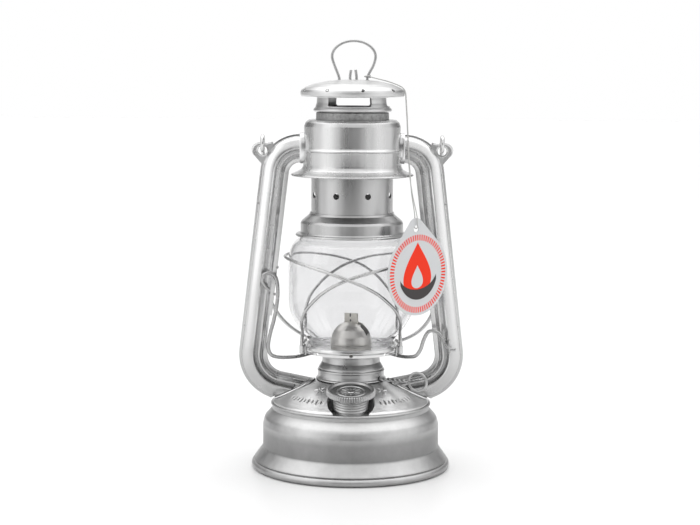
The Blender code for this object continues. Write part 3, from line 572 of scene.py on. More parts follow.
def build_burner():
    seat = filleted([(23.4, 59.6), (23.4, 60.3), (22.5, 60.8), (22.2, 62.0), (22.2, 64.6), (22.5, 65.6),
                     (22.2, 66.4), (21.4, 66.6)], 0.5)
    collar = piece("burner_seat", *pressed(seat, 0.5, 120), "satin", "frame", ["burner_collar"],
                   slot="dull_tin")
    cutter("shaft_cut", moved(rod((0, 0, 12), (0, 0, 30), 1.9), shaft_frame()), collar, curled=True)

    cone = filleted([(21.5, 66.7), (21.6, 67.4), (20.9, 68.6), (19.4, 71.2), (19.1, 74.4), (19.9, 77.0)], 1.0)
    piece("burner_cup", *pressed(cone, 0.5, 120), "satin", "frame", ["burner_cone"], slot="dull_tin")

    disc = lathe([(17.8, 73.4), (17.8, 74.1), (14.0, 74.1), (14.0, 73.4)], True, 96)
    disc = piece("air_disc", *disc, "dark", "frame", ["air_distributor"], slot="dull_tin")
    cutter("air_cut", merged(*spokes(16, 0, (15.9, 72), (15.9, 76), 0.8, 10)), disc)

    outer = filleted_box(6.5, 2.0, 0.9)
    inner = filleted_box(5.9, 1.4, 0.6)
    rings = [(outer, 50.4), (outer, 95.6), (inner, 95.6), (inner, 50.4), (outer, 50.4)]
    tube = loft([[Vector((x, y, z)) for x, y in o] for o, z in rings], False)
    sleeve = piece("wick_sleeve", *moved(tube, WICK_TURN), "burner", "frame", ["wick_tube"], slot="brass")
    cutter("wheel_window", moved(block((-4.6, -5.0, 57.2), (4.6, 0.0, 64.6)), WICK_TURN), sleeve)

    wick = []
    for z in [30 + (103.0 - 30) * i / 60 for i in range(61)]:
        wick.append([Vector((x + 0.10 * math.sin(z * 2.9), y, z)) for x, y in filleted_box(4.8, 0.8, 0.5)])
    wick.append([Vector((x * 0.97, y * 0.7, 103.5)) for x, y in filleted_box(4.8, 0.8, 0.5)])
    piece("wick_ribbon", *moved(loft(wick), WICK_TURN), "wick", "wick", ["wick"], slot="cotton")
    marks = []
    for x, z, tall in ((-0.4, 102.2, 1.3), (-0.3, 98.4, 1.0)):
        spot = arc((x, z), (0.55, tall), 0, 360, 16)[:-1]
        marks.append(loft([[Vector((px, y, pz)) for px, pz in spot] for y in (-0.86, -0.78)]))
    piece("wick_char", *moved(merged(*marks), WICK_TURN), "ink", "wick", [], slot="cotton")

    dome = filleted([(13.6, 74.9), (13.3, 76.2), (13.3, 83.6), (13.7, 84.4), (13.6, 85.6), (12.9, 89.0),
                     (11.2, 92.6), (8.2, 95.6), (4.4, 97.3), (0.0, 97.8)], [1, 1, 0.6, 0.8, 5, 6, 6, 6], 5)
    inner = offset(dome, SHEET)[:-1] + [(0.0, 97.35)]
    cap = piece("burner_hood", *lathe(inner[::-1] + dome, False, 120), "burner", "frame", ["burner_dome"],
                slot="dull_tin")
    cutter("slot_cut", moved(block((-12.2, -3.4, 87.5), (12.2, 3.4, 102.0)), WICK_TURN), cap)


def build_knob():
    reach, ring = 49.0, 6.2
    neck = reach - ring - 0.9
    shaft = rod((0, 0, 3.8), (0, 0, 24.0), 0.95, 14)
    twisted = []
    for k in range(2):
        path = []
        for i in range(61):
            t = i / 60
            swell = 0.72 * min(1.0, (1 - t) * 6 + 0.35)
            path.append(polar(swell, 1080 * t + 180 * k, 22.0 + (neck - 22.0) * t))
        twisted.append(wire(path, 0.72, 10))
    loop = []
    for i in range(49):
        a = math.radians(-172 + 344 * i / 48)
        loop.append(Vector((ring * math.sin(a), 0.25 * math.sin(a), reach + ring * math.cos(a))))
    eye = wire(loop, 0.92, 12)
    piece("wick_key", *moved(merged(shaft, *twisted, eye), shaft_frame()), "ring", "wick_knob", ["wick_knob"],
          slot="wire")
    wheels = []
    for low, high in ((-3.4, -2.2), (2.2, 3.4)):
        star = [polar(2.2 if i % 2 else 3.0, 18 * i) for i in range(20)]
        wheels.append(flat_shape([(p.x, p.y) for p in star], low, high))
    wheels.append(rod((0, 0, -3.0), (0, 0, 3.4), 1.1))
    piece("wick_wheels", *moved(merged(*wheels), shaft_frame()), "brass", "wick_knob", ["spur_wheels"],
          slot="brass")


# ---- globe carriage ----

# The outside of the glass, as (radius, height).
GLOBE = [(27.3, 82.0), (27.6, 84.2), (29.0, 86.8), (31.8, 90.0), (35.9, 95.3), (39.6, 101.5), (41.2, 106.0),
         (41.9, 110.5), (42.1, 116.0), (42.1, 138.0), (41.7, 143.0), (40.5, 147.6), (38.6, 151.0),
         (35.8, 153.4), (33.4, 155.2), (32.5, 157.4), (32.3, 162.0)]


def globe_radius(z):
    for (r0, z0), (r1, z1) in zip(GLOBE, GLOBE[1:]):
        if z0 <= z <= z1:
            return r0 + (r1 - r0) * (z - z0) / (z1 - z0)
    return GLOBE[0][0]


# A guard wire climbs from the plate to the far side of the globe and back, as (angle, height).
GUARD = [(16, 78.6), (16.5, 83.0), (18.5, 88.5), (26, 93.5), (34, 98.8), (41, 104.0), (48, 110.0),
         (56, 115.5), (66, 121.6), (79, 127.4), (90, 131.0), (100, 133.6), (110, 135.7), (120, 137.2),
         (130, 138.6), (140, 139.6), (150, 140.4), (160, 141.0), (170, 141.4), (180, 141.6)]


def build_globe():
    line = [(p.x, p.z) for p in curve([(r, 0, z) for r, z in GLOBE], 4)]
    inner = offset(line, 1.5)
    rim = [((line[-1][0] + inner[-1][0]) / 2, 162.6)]
    foot = [((line[0][0] + inner[0][0]) / 2, 81.5)]
    glass = lathe(line + rim + inner[::-1] + foot, True, 160)
    piece("globe_glass", *glass, "glass", "globe_carriage", ["globe"], 60, slot="glass")

    plate = filleted([(15.0, 80.9), (20.0, 81.1), (24.2, 80.6), (25.0, 81.9), (26.2, 81.1), (28.9, 81.1),
                      (30.0, 82.8), (31.2, 83.2), (32.3, 82.6), (32.5, 80.8), (31.5, 79.6), (31.4, 78.0)],
                     [0.5, 0.8, 0.5, 0.5, 0.8, 0.8, 0.8, 0.8, 0.6, 0.6])
    plate = piece("carriage_plate", *pressed(plate, -0.5), "bright", "globe_carriage", ["globe_plate"],
                  slot="bright_tin")
    vents = spokes(24, 7.5, (18.6, 78), (18.6, 84), 1.1, 12)
    vents += spokes(8, -90, (29.5, 79.4), (35, 79.4), 1.2, 14)
    cutter("plate_cut", merged(*vents), plate)

    for side, name in ((-1, "left"), (1, "right")):
        points = []
        for angle, z in [(-a, z) for a, z in GUARD] + GUARD[-2::-1]:
            r = max(globe_radius(z) + 1.4, 34.5)
            if side > 0:
                r += 2.3 * math.exp(-((abs(angle) - 90.0) / 16.0) ** 2)
            a = math.radians(angle)
            if abs(angle) > 150:
                r += 1.3 * (abs(angle) - 150) / 30
            near = math.exp(-((abs(angle) - 90.0) / 32.0) ** 2)
            lean = -2.3 * near if angle < 0 else 1.0 * near
            rise = 0.0 if angle < 0 else 2.8 * math.sin(math.pi * max(angle - 16.0, 0.0) / 164.0)
            points.append((side * r * math.cos(a) + lean, r * math.sin(a), z + rise))
        piece("guard_" + name, *wire(curve(points, 4), 1.02, 12), "guard", "globe_carriage",
              ["guard_wire_" + name], slot="wire")
        strip = []
        for z in (77.2, 77.5, 84.1, 84.4):
            inset = 0.15 if z in (77.2, 84.4) else 0.0
            outer = [(33.1 - inset, a) for a in range(-24, 25, 4)]
            inner_side = [(32.6 + inset * 0.5, a) for a in range(24, -25, -4)]
            strip.append([Vector((side * r * math.cos(math.radians(a)), r * math.sin(math.radians(a)), z))
                          for r, a in outer + inner_side])
        clip = loft(strip)
        curls = []
        for end in (-1, 1):
            x, y, _ = polar(34.2, 16 * end)
            curls.append(rod((side * x, y, 78.0), (side * x, y, 82.6), 1.5, 14))
        piece("guard_bracket_" + name, *merged(clip, *curls), "wire", "globe_carriage",
              ["guard_clip_" + name], slot="wire")


# ---- chimney ----

# The carrying ring's wire goes through the cap four times, at these X: the inner pair, then the outer pair.
FEET = (-1.7, 2.2, -8.7, 9.5)


def build_chimney():
    bell = filleted([(37.4, 155.9), (37.4, 156.7), (36.8, 157.3), (34.8, 157.5), (34.1, 158.4), (34.1, 164.4),
                     (33.0, 166.0), (28.6, 169.7), (27.9, 170.8), (27.9, 171.3)],
                    [0.4, 0.5, 0.6, 0.8, 1.2, 1.2, 0.8, 0.4], 4)
    piece("bell", *pressed(bell, wobble=dents(0.06, 20, 5)), "satin", "chimney", ["chimney_bell"],
          slot="bright_tin")

    tube = filleted([(27.1, 167.9), (27.1, 201.2), (26.2, 202.8), (21.8, 204.2), (20.9, 205.6),
                     (20.9, 237.5)], [1, 2, 1, 1], 4)
    tube = piece("chimney_tube", *pressed(tube), "satin", "chimney", ["inner_chimney"], slot="bright_tin")
    cutter("vent_cut", merged(*spokes(8, 22.5, (23, 183.3), (31, 183.3), 2.1, 20)), tube)

    crown = filleted([(21.3, 237.9), (25.4, 237.9), (26.0, 238.8), (25.6, 239.8), (24.6, 240.8),
                      (23.8, 243.5), (23.5, 247.2), (24.1, 248.2), (25.6, 248.5)],
                     [0.3, 0.5, 0.5, 0.5, 1.0, 1.0, 0.5], 4)
    crown = piece("crown_ring", *pressed(crown), "sheet", "chimney", ["crown"], slot="bright_tin")
    windows = []
    for start, end in ((-132, -59), (-21, 38), (60, 118), (138, 172)):
        sector = []
        for z, inset in ((241.4, 3.0), (241.9, 1.2), (242.8, 0.0), (247.2, 0.0)):
            low, high = start + inset, end - inset
            angles = [low + (high - low) * k / 16 for k in range(17)]
            sector.append([polar(30.0, a, z) for a in angles] + [polar(17.0, a, z) for a in angles[::-1]])
        windows.append(loft(sector))
    cutter("crown_cut", merged(*windows), crown, curled=True)

    plate = lathe([(31.8, 248.9), (31.8, 249.4), (16.0, 249.4), (16.0, 248.9)], True, 120)
    piece("cap_plate", *plate, "bright", "chimney", ["cap_base"], slot="bright_tin")

    line = filleted([(32.6, 247.7), (33.7, 247.8), (34.4, 248.6), (34.5, 250.8), (33.8, 252.2), (31.0, 254.0),
                     (26.0, 256.0), (16.0, 258.1), (8.0, 258.8), (0.0, 259.0)],
                    [0.4, 0.5, 0.8, 0.8, 1.5, 8, 20, 20], 5)
    inner = offset(line, SHEET)[:-1] + [(0.0, 258.5)]
    cap = lathe(inner[::-1] + line, False, 160, dents(0.08, 14, 1))
    cap = piece("cap_dome", *cap, "sheet", "chimney", ["cap"], slot="bright_tin")
    pins = spokes(9, -159, (30.2, 250.4), (37.0, 253.7), 1.3, 16)
    for x in FEET:
        pins.append(rod((x, 0, 254.0), (x, 0, 262.0), 1.05, 16))
    cutter("cap_cut", merged(*pins), cap)

    under = 256.0
    points = [(FEET[0] + 0.5, 0, 265.0), (FEET[0] - 0.1, 0, 261.0), (FEET[0] - 0.1, 0, 257.6),
              (FEET[0] - 1.3, 0, under), (FEET[2] + 1.2, 0, under), (FEET[2], 0, 257.6),
              (FEET[2] - 0.6, 0, 261.0), (-11.7, 0, 267.0), (-13.2, 0, 271.2)]
    points += [(x, 0, z) for x, z in arc((0.6, 273.8), (14.3, 10.4), 180, 0, 12)]
    points += [(14.5, 0, 271.2), (13.3, 0, 267.6), (11.3, 0, 264.0), (FEET[3] + 0.2, 0, 260.5),
               (FEET[3], 0, 257.6), (FEET[3] - 1.2, 0, under), (FEET[1] + 1.3, 0, under),
               (FEET[1] + 0.3, 0, 257.6), (FEET[1] + 0.2, 0, 261.0), (FEET[1] - 0.4, 0, 265.2)]
    piece("cap_ring", *wire(curve(points, 5), 0.86, 12), "ring", "chimney", ["top_ring"], slot="wire")


def build_hood():
    line = filleted([(40.3, 195.6), (40.8, 196.1), (40.4, 196.7), (36.6, 198.2), (34.0, 199.6), (32.8, 201.6),
                     (32.6, 203.0), (32.6, 211.4), (33.2, 212.0), (33.2, 212.7), (32.6, 213.3), (32.0, 214.2),
                     (32.0, 228.2), (31.2, 230.8), (29.0, 232.4), (27.4, 232.7), (24.5, 232.7)],
                    [0.3, 0.3, 2, 2.5, 2, 1.5, 0.5, 0.4, 0.4, 0.5, 0.8, 3, 2.5, 1.5, 0.6], 5)
    hood = pressed(line, SHEET, 160, dents(0.07, 18, 2))
    hood = piece("hood_shell", *hood, "hood", "frame", ["hood"], slot="bright_tin")
    ports = [rod((s * 28, 0, ARM_Z), (s * 36, 0, ARM_Z), 4.6, 32) for s in (-1, 1)]
    cutter("port_cut", merged(*ports), hood, curled=True)
    neck = filleted([(24.1, 231.6), (24.1, 236.9), (23.8, 237.3), (21.5, 237.3)], 0.3)
    piece("hood_throat", *pressed(neck, 0.4), "grain", "frame", ["hood_neck"], slot="dull_tin")
    turns, low, height = 3, 211.2, 19.2
    coil = [polar(24.3, 10 * i, low + height * i / (turns * 36)) for i in range(turns * 36 + 1)]
    spring = piece("hood_spring", *wire(coil, 0.7, 10), "wire", "frame", ["chimney_spring"], slot="wire")
    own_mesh(spring)


# ---- side tubes ----

# A tube leaves the hood level at ARM_Z, leans out by SLANT on its way down and drops inward to the tank.
ARM_Z, WIDTH = 213.6, 18.9
SLANT, ARM_DROP = math.radians(6.65), math.radians(11.7)
TOP_CORNER, LOW_CORNER = Vector((49.7, 0, ARM_Z)), Vector((67.8, 0, 58.4))
TOP_BEND, LOW_BEND = 17.0, 21.6
EAR_X, EAR_Z = 59.4, 212.0
STAPLE_X, STAPLE_Y, STAPLE_Z = 65.0, -10.1, 83.0


def tube_frames():
    """Points down the middle of the right tube, each with the direction to its inner side, and the way
    its lower end points."""
    out = []
    leg = Vector((math.sin(SLANT), 0, -math.cos(SLANT)))
    bend = math.radians(90) - SLANT
    centre = TOP_CORNER + Vector((-TOP_BEND * math.tan(bend / 2), 0, -TOP_BEND))
    out.append((Vector((34.0, 0, ARM_Z)), Vector((0, 0, -1))))
    for i in range(1, 21):
        a = bend * i / 20
        o = Vector((math.sin(a), 0, math.cos(a)))
        out.append((centre + o * TOP_BEND, -o))
    arm = Vector((-math.cos(ARM_DROP), 0, -math.sin(ARM_DROP)))
    turn = leg.angle(arm)
    start = LOW_CORNER - leg * (LOW_BEND * math.tan(turn / 2))
    inward = Vector((leg.z, 0, -leg.x))
    centre = start + inward * LOW_BEND
    top_end = out[-1][0]
    for i in range(1, 12):
        out.append((top_end.lerp(start, i / 12), inward))
    for i in range(25):
        o = Matrix.Rotation(turn * i / 24, 3, "Y") @ -inward
        out.append((centre + o * LOW_BEND, -o))
    return out, arm


# Half of a tube's section: the distance from its outer edge and how far the sheet stands out there.
SECTION = [(0.0, 0.55), (0.15, 0.75), (1.5, 0.8), (1.75, 1.0), (1.9, 1.8), (2.2, 2.9), (2.9, 3.9), (4.4, 4.9),
           (6.2, 5.8), (7.8, 6.35), (8.9, 6.5), (9.6, 6.1), (10.1, 4.8), (10.4, 3.2), (10.8, 2.4),
           (11.2, 2.8), (12.0, 3.7), (13.0, 4.4), (13.9, 4.4), (14.7, 3.7), (15.3, 2.4), (15.7, 1.3),
           (16.0, 0.95), (16.4, 0.8), (18.7, 0.75), (18.9, 0.55)]


def tube_half(mirror, face):
    """The front (face -1) or back (1) half of the left (mirror -1) or right (1) tube, trimmed to the tank."""
    section = SECTION + [(w, max(0.16, h - 0.5)) for w, h in SECTION[::-1]]
    places, arm = tube_frames()
    rings = []
    for point, inward in places:
        edge = point - inward * (WIDTH / 2)
        rings.append([edge + inward * w + Vector((0, face * h, 0)) for w, h in section])
    normal = Vector((math.sin(CONE_SLOPE), 0, math.cos(CONE_SLOPE)))
    foot = Vector((CONE_EDGE.x, 0, CONE_EDGE.y)) + normal * 1.7
    for k in (-3, -2, -1):
        ring = rings[k]
        limit = -0.4 * k
        rings[k] = [p + arm * min(0.0, (foot - p).dot(normal) / arm.dot(normal) - limit) for p in ring]
    last = rings[-1]
    rings.append([p + arm * ((foot - p).dot(normal) / arm.dot(normal)) for p in last])
    return loft([[Vector((mirror * p.x, p.y, p.z)) for p in ring] for ring in rings])


def upright(mirror, y, points):
    """Points in (x, z) stood up at a depth y, on the left (mirror -1) or right (1) side."""
    return [Vector((mirror * x, y, z)) for x, z in points]


def ear(mirror, face):
    """A half's share of the ear on a tube's shoulder, still without its hole."""
    x, z = EAR_X, EAR_Z
    outline = arc((x + 1.2, z), (5.8, 5.3), -50, 120, 24)
    outline += [(x - 6.8, z + 5.6), (x - 7.6, z + 1.6), (x - 0.6, z - 10.4)]
    y0, y1 = (0.26, 0.81) if face > 0 else (-0.81, -0.26)
    return loft([upright(mirror, y, outline) for y in (y0, y1)])


def build_tubes():
    for mirror, side in ((-1, "left"), (1, "right")):
        for face, half_name in ((-1, "front"), (1, "back")):
            half = piece(f"tube_{side}_{half_name}", *tube_half(mirror, face), "tube", "frame",
                         [f"side_tube_{side}_{half_name}"], 40, slot="bright_tin")
            cutter("ear_join", ear(mirror, face), half, "UNION")
            tools = [rod((mirror * EAR_X, -4, EAR_Z), (mirror * EAR_X, 4, EAR_Z), 3.2, 28)]
            if side == "left":
                notch = Matrix.Translation((-54.4, 0, 92.6)) @ Matrix.Rotation(SLANT, 4, "Y")
                tools.append(moved(block((-1.2, -3, -9.0), (5.0, 3, 9.0)), notch))
            cutter("ear_hole", merged(*tools), half)
        for y, half_name in ((-0.85, "front"), (0.85, "back")):
            rim = upright(mirror, y, arc((EAR_X, EAR_Z), (3.6, 3.6), 0, 360, 28)[:-1])
            edge = upright(mirror, y, arc((EAR_X + 1.2, EAR_Z), (5.4, 4.9), -50, 120, 24) + [(53.6, 217.0)])
            beads = merged(wire(rim, 0.55, 8, True), wire(edge, 0.7, 8))
            piece(f"ear_rim_{side}_{half_name}", *beads, "wire", "frame", [], slot="bright_tin")

        # A ferrule's inner end, where x is 0 in the list, follows the round wall of the hood.
        rings = []
        for grow, x in ((0.3, 0.0), (0.3, 34.2), (0.0, 34.7), (-0.7, 34.7), (-0.7, 0.0), (0.3, 0.0)):
            edge = oval(7.3 + grow, 9.9 + grow, 40)
            rings.append([Vector((mirror * (x or math.sqrt(32.1 ** 2 - y * y)), y, ARM_Z + z))
                          for y, z in edge])
        piece("hood_ferrule_" + side, *loft(rings, False), "tube", "frame", ["hood_collar_" + side],
              slot="bright_tin")

        middle = ((CONE_EDGE.x + CONE_TOP.x) / 2 + 0.1, 0, (CONE_EDGE.y + CONE_TOP.y) / 2)
        turn = (Matrix.Scale(mirror, 4, (1, 0, 0)) @ Matrix.Translation(middle)
                @ Matrix.Rotation(CONE_SLOPE, 4, "Y") @ Matrix.Translation((0, 0, 0.4)))
        rings = []
        for grow, z in ((0.3, 0.0), (0.3, 0.6), (0.0, 1.0), (-2.3, 1.0), (-2.5, 0.7), (-2.5, 0.0),
                        (0.3, 0.0)):
            rings.append([Vector((x, y, z)) for x, y in oval(14.9 + grow, 8.6 + grow, 48)])
        piece("tube_sole_" + side, *moved(loft(rings, False), turn), "bright", "frame", ["tube_foot_" + side],
              slot="bright_tin")

    leg = [place for place in tube_frames()[0] if 70.0 < place[0].z < 200.0]
    top, bottom = leg[0][0], leg[-1][0]
    dots = []
    for z, across in ((176.0, -8.6), (94.0, -8.6), (135.0, 8.7), (117.0, 8.7)):
        p = top.lerp(bottom, (z - top.z) / (bottom.z - top.z)) + leg[5][1] * across
        for mirror in (-1, 1):
            for y in (-1, 1):
                rim = Vector((mirror * p.x, y * 0.6, p.z))
                dots.append(rod(rim, rim + Vector((0, y * 0.5, 0)), 0.85, 14))
    piece("tube_welds", *merged(*dots), "dark", "frame", [], slot="bright_tin")

    ring = [Vector((STAPLE_X, y, z)) for y, z in arc((STAPLE_Y, STAPLE_Z), (4.2, 4.2), 0, 360, 40)[:-1]]
    piece("lever_staple", *wire(ring, 0.65, 10, True), "ring", "frame", ["lever_eye"], slot="wire")


# ---- moving wires ----

def build_bail():
    tilt = Matrix.Translation((0, 0, 216.6)) @ Matrix.Rotation(math.radians(13.0), 4, "X")
    half, hook = EAR_X, 4.7
    curl = arc((0, 0), (hook, hook), -72, -355, 24)
    legs = [(-half, hook, -z) for z in (6.0, 25.0, 50.0, 75.0)]
    bow = []
    for i in range(37):
        a = math.pi - math.pi * i / 36
        c, s = math.cos(a), math.sin(a)
        power = 3.2 if c > 0 else 2.3
        x = half * math.copysign(abs(c) ** (2 / power), c)
        bow.append((x, hook, -89.0 - 56.0 * abs(s) ** (2 / power)))
    points = [(-half, y, z) for y, z in curl] + legs + bow
    points += [(half, y, z) for _, y, z in legs[::-1]] + [(half, y, z) for y, z in curl[::-1]]
    path = curve([tilt @ Vector(p) for p in points], 3)
    piece("bail_wire", *wire(path, 1.3, 14), "wire", "bail", ["bail"], slot="wire")


def build_lever():
    points = [(-54.7, -8.4, 120.2), (-57.0, -8.5, 122.4), (-58.8, -8.6, 125.4), (-58.7, -8.7, 128.6),
              (-57.0, -8.7, 130.6), (-53.9, -8.7, 131.2), (-50.6, -8.7, 128.8), (-49.1, -8.7, 123.6),
              (-48.9, -8.6, 115.6), (-49.9, -8.5, 107.4), (-51.5, -8.3, 99.6), (-53.6, -8.2, 91.6),
              (-55.0, -8.1, 84.6), (-54.9, -8.0, 79.4), (-53.0, -7.2, 76.0), (-49.2, -5.4, 74.4),
              (-43.0, -2.0, 73.6), (-35.0, 3.6, 73.4), (-28.0, 11.2, 74.0), (-20.5, 18.8, 75.2),
              (-10.0, 24.8, 76.0), (0.0, 26.4, 76.1), (10.0, 24.8, 76.0), (20.5, 18.6, 75.2),
              (27.5, 9.5, 74.3), (34.0, 0.0, 74.3), (39.0, -5.6, 75.0),
              (43.2, -8.0, 76.2), (46.2, -8.8, 80.6), (48.2, -9.2, 87.0), (50.9, -9.4, 92.2),
              (54.8, -9.6, 93.4), (58.8, -9.8, 91.0), (61.4, -10.0, 86.6), (63.0, -10.3, 82.8),
              (65.4, -10.3, 81.2), (69.2, -10.3, 81.0)]
    piece("lift_wire", *wire(curve(points, 5), 1.22, 14), "lever", "lift_lever", ["lift_lever"], slot="wire")


# ---- tag and string ----

TAG_TURN = math.radians(43.0)
TAG_HOLE = Vector((41.6, -28.0, 163.0))
TAG_FRAME = (Matrix.Translation(TAG_HOLE) @ Matrix.Rotation(TAG_TURN, 4, "Z")
             @ Matrix.Rotation(math.radians(90), 4, "X") @ Matrix.Rotation(math.radians(4.0), 4, "Z"))


def flame(cx, cy, wide, tall, lean, steps=56):
    """The outline of a drop whose tip leans sideways."""
    shape = []
    for i in range(steps):
        t = math.tau * i / steps
        y = 0.5 * tall * math.cos(t)
        x = wide * math.sin(t) * math.sin(t / 2) ** 1.4
        shape.append((cx + x + lean * (0.5 + y / tall) ** 2, cy + y))
    return shape


def build_tag():
    radius, drop, tip = 27.4, 29.6, 7.0
    spread = math.degrees(math.acos((radius - tip) / drop))
    outline = arc((0, -drop), (radius, radius), 90 + spread, 450 - spread, 72)
    outline += arc((0, 0), (tip, tip), 90 - spread, 90 + spread, 14)
    tag = moved(flat_shape(outline, -0.25, 0.25), TAG_FRAME)
    tag = piece("tag_plate", *tag, "card", "chimney", ["tag"], slot="card")
    cutter("tag_cut", moved(rod((0, 0, -3), (0, 0, 3), 2.2, 28), TAG_FRAME), tag)

    border = []
    for i in range(74):
        a = math.tau * i / 74
        across = Vector((-math.sin(a), math.cos(a)))
        out = Vector((math.cos(a), math.sin(a)))
        quad = []
        for r, w in ((21.8, -0.46), (25.6, -0.54), (25.6, 0.54), (21.8, 0.46)):
            p = Vector((0.0, -drop)) + out * r + across * w
            quad.append((p.x, p.y))
        border.append(flat_shape(quad, 0.26, 0.30))
    piece("tag_border", *moved(merged(*border), TAG_FRAME), "red", "chimney", [], slot="card")

    outer = flat_shape(flame(-1.0, -25.8, 18.0, 34.0, 2.0), 0.26, 0.30)
    piece("tag_mark", *moved(outer, TAG_FRAME), "red", "chimney", [], slot="card")
    light = flat_shape(flame(-1.2, -31.4, 7.4, 15.0, 1.0), 0.305, 0.33)
    piece("tag_light", *moved(light, TAG_FRAME), "card", "chimney", [], slot="card")
    crescent = arc((0, -29.4), (17.5, 17.2), 200, 340, 30) + arc((0, -28.0), (17.5, 11.8), 340, 200, 30)
    piece("tag_band", *moved(flat_shape(crescent, 0.335, 0.36), TAG_FRAME), "ink", "chimney", [], slot="card")
    eyelet = lathe([(2.2, 0.3), (2.5, 0.42), (3.1, 0.3), (3.1, 0.26), (2.2, 0.26)], True, 36)
    piece("tag_eyelet", *moved(eyelet, TAG_FRAME), "card", "chimney", [], slot="card")


def build_string():
    """One string, doubled: from the ring's foot over the cap's rim to the tag's hole and back."""
    route = [(12.0, -0.9, 260.6), (16.0, -2.0, 259.6), (22.0, -3.4, 258.2), (28.0, -4.8, 256.2),
             (32.4, -5.9, 254.1), (34.4, -6.4, 251.4), (34.9, -6.9, 248.2), (35.2, -7.8, 243.0),
             (35.8, -9.8, 233.0), (36.4, -12.0, 220.0), (37.0, -14.2, 208.0), (37.7, -16.2, 197.4),
             (38.9, -20.9, 186.0), (40.6, -25.4, 176.5), (41.5, -27.7, 171.0), (41.6, -28.0, 167.0)]
    middle = curve(route, 2)
    normal = Vector((math.sin(TAG_TURN), -math.cos(TAG_TURN), 0.0))
    turn_radius, spread, lip = 1.4, 0.55, 197.4
    front, back = [], []
    for p in middle:
        radial = Vector((p.x, p.y, 0)).normalized()
        along = Vector((-radial.y, radial.x, 0)) * spread
        t = min(max((lip - p.z) / (lip - TAG_HOLE.z - turn_radius), 0.0), 1.0)
        shift = along.lerp(normal * -turn_radius, t)
        front.append(p - shift)
        back.append(p + shift)
    loop = []
    for i in range(5):
        a = math.pi * i / 4
        loop.append(TAG_HOLE + normal * (turn_radius * math.cos(a))
                    + Vector((0, 0, turn_radius * (1.0 - math.sin(a)))))
    path = front + loop + back[::-1]
    data = bpy.data.curves.new("tag_string", "CURVE")
    data.dimensions = "3D"
    data.bevel_depth = 0.35 * MM
    data.bevel_resolution = 2
    data.use_fill_caps = True
    spline = data.splines.new("POLY")
    spline.points.add(len(path) - 1)
    for place, p in zip(spline.points, path):
        place.co = (*(p * MM), 1.0)
    data.materials.append(MATS["string"])
    obj = new_object("tag_string", data)
    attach(obj, "chimney")
    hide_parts("string")

    foot = Vector((FEET[3] + 0.15, 0, 260.4))
    knot = [foot + polar(1.75, -20 + 12.5 * i, 1.1 * i / 32) for i in range(33)]
    tie = piece("string_tie", *wire(knot, 0.5, 8), "string", "chimney", ["string_knot"], slot="cord")


# ---- stage ----

SIDE_LIGHT, TOP_LIGHT = 0.95, 1.1
FRONT_SHADE, BACK_SHADE = 0.90, 0.75
CAMERA_PLACE = (-0.0011, -1.129, 0.2656)
CAMERA_DOWN, CAMERA_ROLL = math.radians(6.472), math.radians(0.36)


def build_floor():
    floor = bpy.data.meshes.new("floor")
    floor.from_pydata([(-8, -2.2, 0), (8, -2.2, 0), (8, 8, 0), (-8, 8, 0)], [], [(0, 1, 2, 3)])
    mat, _, shader = new_material("floor_white")
    put(shader, Base_Color=(0.80, 0.80, 0.80, 1.0), Roughness=0.40, Specular_IOR_Level=0.4)
    floor.materials.append(mat)
    ground = new_object("floor", floor)


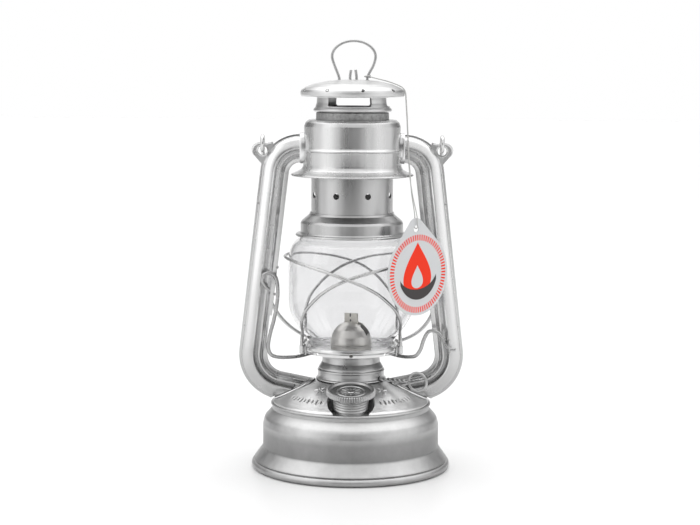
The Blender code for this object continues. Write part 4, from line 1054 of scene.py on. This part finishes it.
def build_world():
    """A white room: bright above, with a dark zone low in front and another low behind."""
    world = bpy.data.worlds.new("studio")
    bpy.context.scene.world = world
    world.use_nodes = True
    tree = world.node_tree
    place = node(tree, "ShaderNodeTexCoord")
    parts = node(tree, "ShaderNodeSeparateXYZ")
    tree.links.new(place.outputs["Generated"], parts.inputs["Vector"])
    x, y, z = (parts.outputs[k] for k in "XYZ")

    def math_node(kind, a, b=0.0):
        made = node(tree, "ShaderNodeMath", operation=kind)
        for socket, value in zip(made.inputs, (a, b)):
            if isinstance(value, (int, float)):
                socket.default_value = value
            else:
                tree.links.new(value, socket)
        return made.outputs[0]

    def ramp(value, start, end, low, high):
        made = node(tree, "ShaderNodeMapRange", interpolation_type="SMOOTHSTEP", From_Min=start, From_Max=end,
                    To_Min=low, To_Max=high)
        tree.links.new(value, made.inputs["Value"])
        return made.outputs[0]

    def shaded(level, zone, share):
        return math_node("MULTIPLY", level, math_node("SUBTRACT", 1.0, math_node("MULTIPLY", zone, share)))

    across = math_node("ABSOLUTE", x)
    front = math_node("MULTIPLY", ramp(across, 0.34, 0.56, 1.0, 0.0), ramp(y, -0.2, 0.0, 1.0, 0.0))
    front = math_node("MULTIPLY", front, ramp(z, 0.22, 0.45, 1.0, 0.0))
    back = math_node("MULTIPLY", ramp(y, 0.22, 0.42, 0.0, 1.0), ramp(y, 0.88, 0.95, 1.0, 0.0))
    back = math_node("MULTIPLY", back, ramp(z, 0.35, 0.6, 1.0, 0.0))
    above = math_node("MULTIPLY", ramp(z, 0.5, 0.8, 0.0, TOP_LIGHT), ramp(y, -0.6, 0.2, 0.0, 1.0))
    level = math_node("ADD", above, ramp(y, -0.1, 0.3, SIDE_LIGHT, 1.0))
    level = shaded(shaded(level, front, FRONT_SHADE), back, BACK_SHADE)
    tree.links.new(level, tree.nodes["Background"].inputs["Strength"])
    put(tree.nodes["Background"], Color=(1.0, 1.0, 1.0, 1.0))


def area(name, where, target, size, power):
    """A rectangular light, aimed at a point."""
    light = bpy.data.lights.new(name, "AREA")
    light.shape = "RECTANGLE"
    light.size, light.size_y = size
    light.energy = power
    light.spread = math.radians(180)
    obj = new_object(name, light)
    obj.location = where
    obj.rotation_euler = (Vector(target) - Vector(where)).to_track_quat("-Z", "Y").to_euler()


def build_camera():
    scene = bpy.context.scene
    cam = bpy.data.cameras.new("camera")
    cam.lens = 87.6
    cam.sensor_width = 36.0
    cam.clip_start, cam.clip_end = 0.05, 50.0
    view = new_object("camera", cam)
    look = Vector((0, math.cos(CAMERA_DOWN), -math.sin(CAMERA_DOWN)))
    turn = look.to_track_quat("-Z", "Y").to_matrix().to_4x4()
    view.matrix_world = Matrix.Translation(CAMERA_PLACE) @ turn @ Matrix.Rotation(CAMERA_ROLL, 4, "Z")
    scene.camera = view
    scene.view_settings.view_transform = "Standard"
    scene.view_settings.look = "None"


build_tank()
build_marks()
build_filler()
build_burner()
build_knob()
build_globe()
build_chimney()
build_hood()
build_tubes()
build_bail()
build_lever()
build_tag()
build_string()
build_floor()
build_world()
area("key_left", (-1.3, -0.75, 0.75), (0, 0, 0.14), (0.9, 1.5), 2.5)
area("fill_right", (1.35, -0.55, 0.6), (0, 0, 0.14), (0.8, 1.5), 1.0)
area("top", (0.0, 0.1, 1.5), (0, 0, 0.1), (1.6, 1.2), 3)
build_camera()
